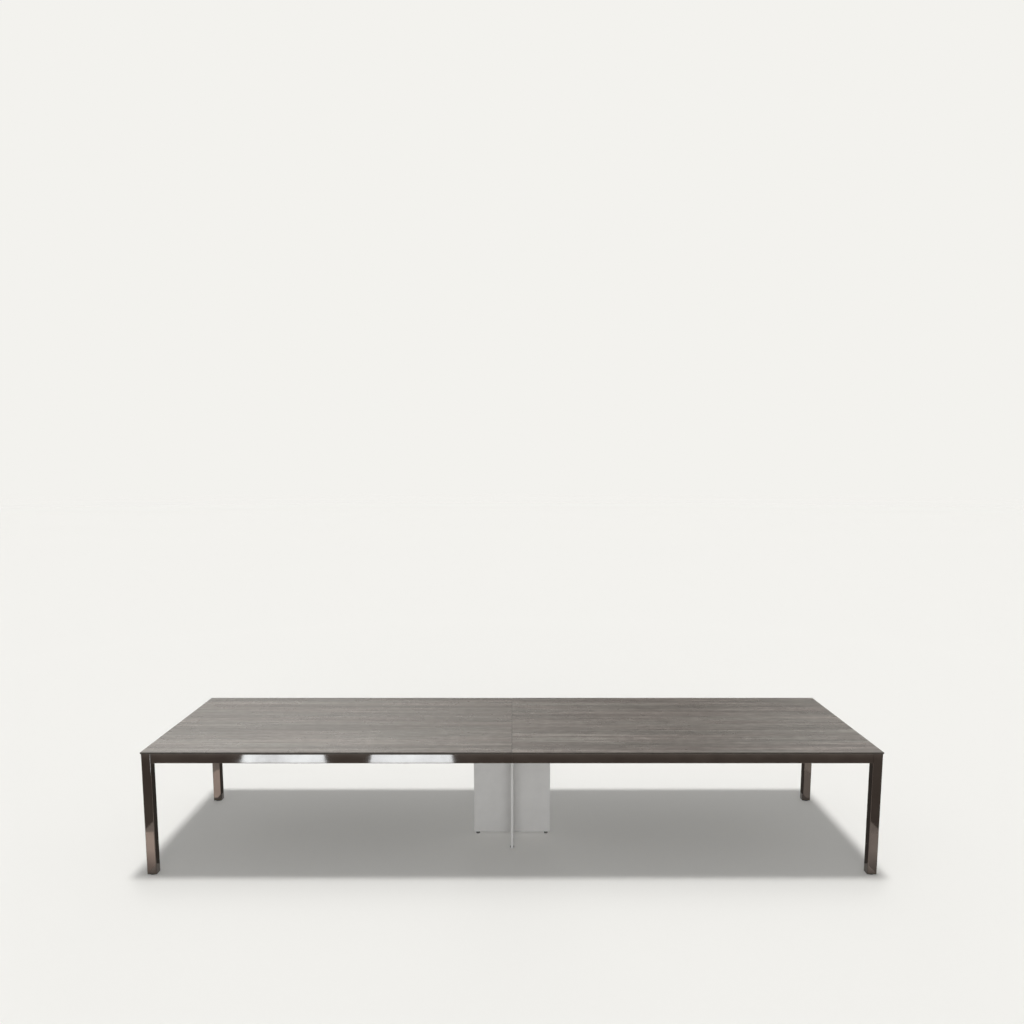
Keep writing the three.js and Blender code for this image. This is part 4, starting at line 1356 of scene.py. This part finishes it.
weld_points, weld_edges = [], []
for foot, aim in zip(tab_points, tab_aims):
    along = Vector((-aim.y, aim.x, 0)) * TAB_LENGTH / 2
    weld_edges.append((len(weld_points), len(weld_points) + 1))
    weld_points += [foot - along, foot + along]
loop = rounded_loop(RAIL_WIDTH, RAIL_HEIGHT, RAIL_CORNER)
for node in CROSSBARS:
    stand, length = BARS[node]
    for end in (0.0, length):
        first = len(weld_points)
        weld_points += [stand @ Vector((end, across, up + RAIL_HEIGHT / 2)) for across, up in loop]
        weld_edges += [(first + i, first + (i + 1) % len(loop)) for i in range(len(loop))]
beads = base_mesh(weld_points, weld_edges)
welds = grow(WELDS, beads, DULL_CHROME, radius=WELD_RADIUS, ripple=WELD_RIPPLE, depth=WELD_DEPTH)
show("weld_beads", settled(welds), "table", "dark_chrome")
print("welds:", len(tab_points) + 2 * len(CROSSBARS), "beads,", len(welds.polygons), "faces")

# %% [markdown]
# All the screws are button heads with a hexagon socket. A low dome is a cap of a ball, so the tree cuts one
# from a ball that passes through the rim and the top of the head. It sinks the socket into it and adds a
# shank. One screw is set on each point and turned so that its head looks along the point's aim, which is
# much less work than placing them by hand.

# %% Screw tree
BALL_SEGMENTS, BALL_RINGS = 24, 20
BOX_WIDTH, BOX_HEIGHT = 1.5, 4.0
SOCKET_SIDES = 6
SHANK_SIDES = 16


def rod(tree, sides, radius, length):
    """A cylinder about its own middle."""
    inputs = {"Vertices": sides, "Radius": radius, "Depth": length}
    return place(tree, "GeometryNodeMeshCylinder", inputs).outputs["Mesh"]


def button_cap(tree, width, rise):
    """The part of a ball that lies above a flat seat. A box above the seat keeps it."""
    half = calc(tree, "DIVIDE", width, 2.0)
    squares = calc(tree, "MULTIPLY_ADD", half, half, calc(tree, "MULTIPLY", rise, rise))
    radius = calc(tree, "DIVIDE", squares, calc(tree, "MULTIPLY", rise, 2.0))
    sphere = {"Segments": BALL_SEGMENTS, "Rings": BALL_RINGS, "Radius": radius}
    ball = place(tree, "GeometryNodeMeshUVSphere", sphere).outputs[0]
    wide = calc(tree, "MULTIPLY", width, BOX_WIDTH)
    tall = calc(tree, "MULTIPLY", rise, BOX_HEIGHT)
    box = place(tree, "GeometryNodeMeshCube", {"Size": vector(tree, X=wide, Y=wide, Z=tall)}).outputs[0]
    cap = place(tree, "GeometryNodeMeshBoolean", operation="INTERSECT", solver="EXACT")
    tree.links.new(moved(tree, ball, Z=difference(tree, rise, radius)), cap.inputs["Mesh 2"])
    tree.links.new(moved(tree, box, Z=calc(tree, "DIVIDE", tall, 2.0)), cap.inputs["Mesh 2"])
    return cap.outputs[0]


def screw_tree():
    tree, given = new_tree("button_screws", "Head", "Rise", "Shank", "Length", "Key", "Key Depth")
    flats = calc(tree, "DIVIDE", given["Key"], math.sqrt(3.0))
    sink = calc(tree, "MULTIPLY", given["Key Depth"], 2.0)
    socket = moved(tree, rod(tree, SOCKET_SIDES, flats, sink), Z=given["Rise"])
    head = cut(tree, button_cap(tree, given["Head"], given["Rise"]), socket)
    shank = rod(tree, SHANK_SIDES, calc(tree, "DIVIDE", given["Shank"], 2.0), given["Length"])
    shank = moved(tree, shank, Z=calc(tree, "DIVIDE", given["Length"], -2.0))
    screw = joined(tree, head, shank)
    return end_tree(tree, given, sown(tree, given["Base"], screw, Rotation=aimed(tree, axis="Z")))


SCREWS = screw_tree()
print("tree:", SCREWS.name, len(SCREWS.nodes), "nodes")

# %% [markdown]
# The frame bolts lock the joiners and splices in the beams from below. Wood screws go up through the tabs
# into the top. Both look straight down, and each kind is one piece, because the screws of a kind never move
# apart. The bolts take the place of the construction's own, which have a plain stepped head.

# %% Frame bolts and tab screws
DOWN = Vector((0, 0, -1))
FRAME_BOLT = {
    "head": 0.014, "rise": 0.004, "shank": 0.008, "length": 0.022, "key": 0.005, "key_depth": 0.0025,
}
TAB_SCREW = {
    "head": 0.011, "rise": 0.003, "shank": 0.005, "length": 0.011, "key": 0.003, "key_depth": 0.0018,
}


def screw_piece(name, points, aims, sizes, *nodes):
    """A screw of the given sizes on every point, shown as one piece."""
    mesh = grow(SCREWS, base_mesh(points, aim=aims), ZINC_STEEL, **sizes)
    show(name, settled(mesh), "table", "zinc_steel", *nodes)
    print(name, len(points))


bolt_nodes = [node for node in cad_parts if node.startswith(("rail_bolt", "splice_bolt"))]
bolt_points = []
for node in bolt_nodes:
    low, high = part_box(node)
    bolt_points.append(Vector(((low.x + high.x) / 2, (low.y + high.y) / 2, rail_low.z)))
screw_piece("frame_bolts", bolt_points, [DOWN] * len(bolt_points), FRAME_BOLT, *bolt_nodes)
screw_piece("tab_screws", tab_screws, [DOWN] * len(tab_screws), TAB_SCREW)

# %% [markdown]
# Two machine bolts hold each end plate to its beam, one on either side of the crossbar. They are the
# frame's bolts with a shorter shank, and they look along the crossbar to the middle of the table.

# %% End-plate bolts
END_PLATE_BOLT = {**FRAME_BOLT, "length": 0.012}
END_PLATE_BOLT_SPACING = 0.084

plate_bolts, plate_aims = [], []
for node in CROSSBARS:
    low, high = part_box(node)
    for side in (-1, 1):
        across = (low.x + high.x + side * END_PLATE_BOLT_SPACING) / 2
        for face, aim in ((low.y + END_PLATE, 1), (high.y - END_PLATE, -1)):
            plate_bolts.append(Vector((across, face, (low.z + high.z) / 2)))
            plate_aims.append(Vector((0, aim, 0)))
screw_piece("end_plate_bolts", plate_bolts, plate_aims, END_PLATE_BOLT)

# %% [markdown]
# Four angle brackets hold the panels to the plate at their head, with two short screws up into the plate
# and two into the panel. The brackets stand round the middle a quarter turn apart. So the places are worked
# out on one bracket and turned to the others.

# %% Bracket screws
BRACKET_SCREW = {**TAB_SCREW, "length": 0.008}
BRACKET_THICKNESS = 0.004
BRACKET_HOLE_INSET = 0.016
BRACKET_HOLE_SPACING = 0.032
FORWARD = Vector((0, -1, 0))

bracket_points, bracket_aims = [], []
low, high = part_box("pedestal_bracket_1")
for quarter in range(4):
    turn = Matrix.Rotation(quarter * QUARTER_TURN, 4, "Z")
    for side in (-1, 1):
        along = (low.x + high.x + side * BRACKET_HOLE_SPACING) / 2
        under = Vector((along, low.y + BRACKET_HOLE_INSET, high.z - BRACKET_THICKNESS))
        outer = Vector((along, high.y - BRACKET_THICKNESS, low.z + BRACKET_HOLE_INSET))
        bracket_points += [turn @ under, turn @ outer]
        bracket_aims += [DOWN, turn.to_3x3() @ FORWARD]
screw_piece("bracket_screws", bracket_points, bracket_aims, BRACKET_SCREW)

# %% [markdown]
# The two panels of the middle support are halved, so that each slides into the other. Their solids already
# have the slots and the film covers all faces alike, so a softened copy is enough. Its small round is what
# a sawn and taped edge has.

# %% Panels
BOARD_ROUNDING = 0.0006


def show_softened(name, node, rounding, material, slot):
    """A softened copy of a solid, shown in its place on the table."""
    show(name, softened(node, rounding, material), "table", slot, node)


for panel in ("long", "cross"):
    node = f"pedestal_panel_{panel}"
    show_softened(f"panel_board_{panel}", node, BOARD_ROUNDING, LIGHT_BOARD, "panel_board")
print("panels: 2, rounded by", BOARD_ROUNDING)

# %% [markdown]
# At the head of the panels a steel plate and four folded brackets tie them to the middle crossbar. Ribbed
# plugs close the legs' lower ends and take the feet. All of them keep the form of their solids, with a
# round that suits folded steel or moulded plastic.

# %% Head plate, brackets and plugs
STEEL_ROUNDING = 0.0006
PLASTIC_ROUNDING = 0.0005
BRACKETS = range(1, 5)

show_softened("head_plate_steel", "pedestal_head_plate", STEEL_ROUNDING, ZINC_STEEL, "zinc_steel")
for number in BRACKETS:
    bracket = f"pedestal_bracket_{number}"
    show_softened(f"bracket_steel_{number}", bracket, STEEL_ROUNDING, ZINC_STEEL, "zinc_steel")
for corner in CORNER_TURNS:
    plug = f"foot_socket_{corner}"
    show_softened(f"leg_plug_{corner}", plug, PLASTIC_ROUNDING, BLACK_PLASTIC, "black_plastic")
print("head plate 1, brackets", len(BRACKETS), "plugs", len(CORNER_TURNS))

# %% [markdown]
# Feet and glides have round pads. A Screw modifier can turn a profile into one, but its points on the axis
# have to be merged afterwards. Here every point of the profile becomes a ring, or a single point on the
# axis, and neighbouring rings are joined by faces. A quarter round in the profile makes a soft edge.

# %% Turned pads
TURN_STEPS = 64
ARC_STEPS = 5


def turned(name, profile, centre, material):
    """A closed mesh of revolution. The profile is (radius, height) points from axis to axis."""
    solid = bmesh.new()
    rings = []
    angles = [math.tau * step / TURN_STEPS for step in range(TURN_STEPS)]
    for radius, height in profile:
        if radius == 0:
            rings.append([solid.verts.new((centre.x, centre.y, height))] * TURN_STEPS)
            continue
        spots = [(centre.x + radius * math.cos(a), centre.y + radius * math.sin(a), height) for a in angles]
        rings.append([solid.verts.new(spot) for spot in spots])
    for lower, upper in zip(rings, rings[1:]):
        for i in range(TURN_STEPS):
            j = (i + 1) % TURN_STEPS
            corners = dict.fromkeys((lower[i], lower[j], upper[j], upper[i]))
            if len(corners) > 2:
                solid.faces.new(corners)
    bmesh.ops.recalc_face_normals(solid, faces=solid.faces)
    mesh = bpy.data.meshes.new(name)
    solid.to_mesh(mesh)
    solid.free()
    mesh.materials.append(material)
    return settled(mesh)


def arc(radius, height, corner, start):
    """Points of a quarter round about (radius, height), from a start angle given in quarter turns."""
    angles = [(start + step / ARC_STEPS) * QUARTER_TURN for step in range(ARC_STEPS + 1)]
    return [(radius + corner * math.cos(a), height + corner * math.sin(a)) for a in angles]


print("pads are turned in", TURN_STEPS, "steps")

# %% [markdown]
# A pad is screwed in on a threaded stud. A thread could be a bump, but on a stud that is drawn out its
# outline shows. So it is a bead swept along a spiral, round a core that is thinner than the stud by the
# ridge. The thread starts and stops one pitch short of the stud's ends.

# %% Stud tree
STUD_SIDES = 24
RIDGE_SHARE = 0.36
THREAD_STEPS = 18
THREAD_SIDES = 5


def stud_tree():
    tree, given = new_tree("threaded_stud", "Diameter", "Length", "Pitch")
    ridge = calc(tree, "MULTIPLY", given["Pitch"], RIDGE_SHARE)
    root = difference(tree, calc(tree, "DIVIDE", given["Diameter"], 2.0), ridge)
    core = rod(tree, STUD_SIDES, root, given["Length"])
    core = moved(tree, core, Z=calc(tree, "DIVIDE", given["Length"], 2.0))
    threaded = difference(tree, given["Length"], calc(tree, "MULTIPLY", given["Pitch"], 2.0))
    line = {
        "Resolution": THREAD_STEPS,
        "Rotations": calc(tree, "DIVIDE", threaded, given["Pitch"]),
        "Start Radius": root,
        "End Radius": root,
        "Height": threaded,
    }
    spiral = moved(tree, place(tree, "GeometryNodeCurveSpiral", line).outputs[0], Z=given["Pitch"])
    thread = swept(tree, spiral, THREAD_SIDES, ridge)
    return end_tree(tree, given, sown(tree, given["Base"], joined(tree, core, thread)))


STUDS = stud_tree()
print("tree:", STUDS.name, len(STUDS.nodes), "nodes")

# %% [markdown]
# Under each leg is a levelling foot: a round black pad on its stud. It is a body of its own, because it
# screws in and out to level the table, and all that belongs to it rides on that body. What a pad and its
# stud have in common with the glides is made by one function.

# %% Feet
FOOT_THICKNESS = 0.005
FOOT_EDGE = 0.0012
FOOT_STUD = {"diameter": 0.010, "pitch": 0.0015}
GRIP = 0.0007


def show_pad(kind, where, node, body, profile, plastic, stud):
    """Turns a pad and grows the stud on it. Returns the pad's middle and its radius."""
    low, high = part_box(node)
    middle, radius = (low + high) / 2, (high.x - low.x) / 2
    outline = profile(radius)
    show(f"{kind}_pad_{where}", turned(node, outline, middle, plastic), body, "black_plastic", node)
    top = outline[-1][1]
    seat = base_mesh([(middle.x, middle.y, top)])
    thread = grow(STUDS, seat, ZINC_STEEL, length=high.z - top, **stud)
    show(f"{kind}_stud_{where}", settled(thread), body, "zinc_steel")
    print(kind, where, "radius", round(radius, 4), "thread faces", len(thread.polygons))
    return middle, radius


def foot_profile(radius):
    rim = radius - FOOT_EDGE - GRIP / 2
    lower = arc(rim, FOOT_EDGE, FOOT_EDGE, -1)
    upper = arc(rim, FOOT_THICKNESS - FOOT_EDGE, FOOT_EDGE, 0)
    return [(0, 0), *lower, *upper, (0, FOOT_THICKNESS)]


FEET = {}
for corner in CORNER_TURNS:
    node, body = f"levelling_foot_{corner}", f"foot_{corner}"
    FEET[corner] = show_pad("foot", corner, node, body, foot_profile, BLACK_PLASTIC, FOOT_STUD)

# %% [markdown]
# Small ribs round a foot's rim let fingers turn it. They could be pulled out of the pad's own faces. A rib
# is a thin rod, though, and a tree can set any number of rods on a circle, mostly sunk into the rim.

# %% Grips on the feet
GRIP_COUNT = 48
GRIP_SIDES = 10


def grip_tree():
    tree, given = new_tree("rim_grips", "Radius", "Grip", "Height", counts=["Count"])
    circle = {"Vertices": given["Count"], "Radius": given["Radius"]}
    ring = place(tree, "GeometryNodeMeshCircle", circle).outputs[0]
    row = sown(tree, ring, rod(tree, GRIP_SIDES, given["Grip"], given["Height"]))
    return end_tree(tree, given, sown(tree, given["Base"], row))


GRIPS = grip_tree()
for corner, (middle, radius) in FEET.items():
    rim = base_mesh([(middle.x, middle.y, FOOT_THICKNESS / 2)])
    ribs = grow(
        GRIPS, rim, BLACK_PLASTIC,
        radius=radius - GRIP, grip=GRIP, height=FOOT_THICKNESS - 2 * FOOT_EDGE, count=GRIP_COUNT,
    )
    show(f"foot_grips_{corner}", settled(ribs), f"foot_{corner}", "black_plastic")
print("grips:", GRIP_COUNT, "on each of", len(FEET), "feet")

# %% [markdown]
# The panels stand on four smaller glides of grey plastic, which screw in and out in the same way. A glide's
# rim is smooth, and a cone leads from it up to the stud, so only the profile differs from a foot's.

# %% Glides
GLIDE_HEIGHT = 0.009
GLIDE_FACE = 0.019
GLIDE_EDGE = 0.0015
GLIDE_RIM, GLIDE_SHOULDER = 0.45 * GLIDE_HEIGHT, 0.53 * GLIDE_HEIGHT
GLIDE_STUD = {"diameter": 0.008, "pitch": 0.00125}


def glide_profile(radius):
    lower = arc(radius - GLIDE_EDGE, GLIDE_EDGE, GLIDE_EDGE, -1)
    shoulder = [(radius, GLIDE_RIM), (radius - GLIDE_EDGE / 3, GLIDE_SHOULDER)]
    return [(0, 0), *lower, *shoulder, (GLIDE_FACE / 2, GLIDE_HEIGHT), (0, GLIDE_HEIGHT)]


for end in ("left", "front", "right", "rear"):
    show_pad("glide", end, f"glide_{end}", f"panel_glide_{end}", glide_profile, GREY_PLASTIC, GLIDE_STUD)

# %% [markdown]
# What stays hidden inside the frame keeps its own solid: the joiners, the splices, the tongue in the seam,
# the sleeves and the head bolts. Nobody sees their edges, so a softened copy would be work for nothing.
# Each still gets its real finish.

# %% Hidden pieces
HIDDEN_FINISHES = {
    "corner_joiner": CAST_ALLOY,
    "splice_": CAST_ALLOY,
    "seam_tongue": ZINC_STEEL,
    "glide_socket": ZINC_STEEL,
    "head_bolt": ZINC_STEEL,
}

for node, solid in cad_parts.items():
    for start, finish in HIDDEN_FINISHES.items():
        if node.startswith(start) and not solid.hide_render:
            for slot in solid.material_slots:
                slot.material = finish
shown = [node for node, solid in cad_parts.items() if not solid.hide_render]
print("kept solids:", len(shown), shown)
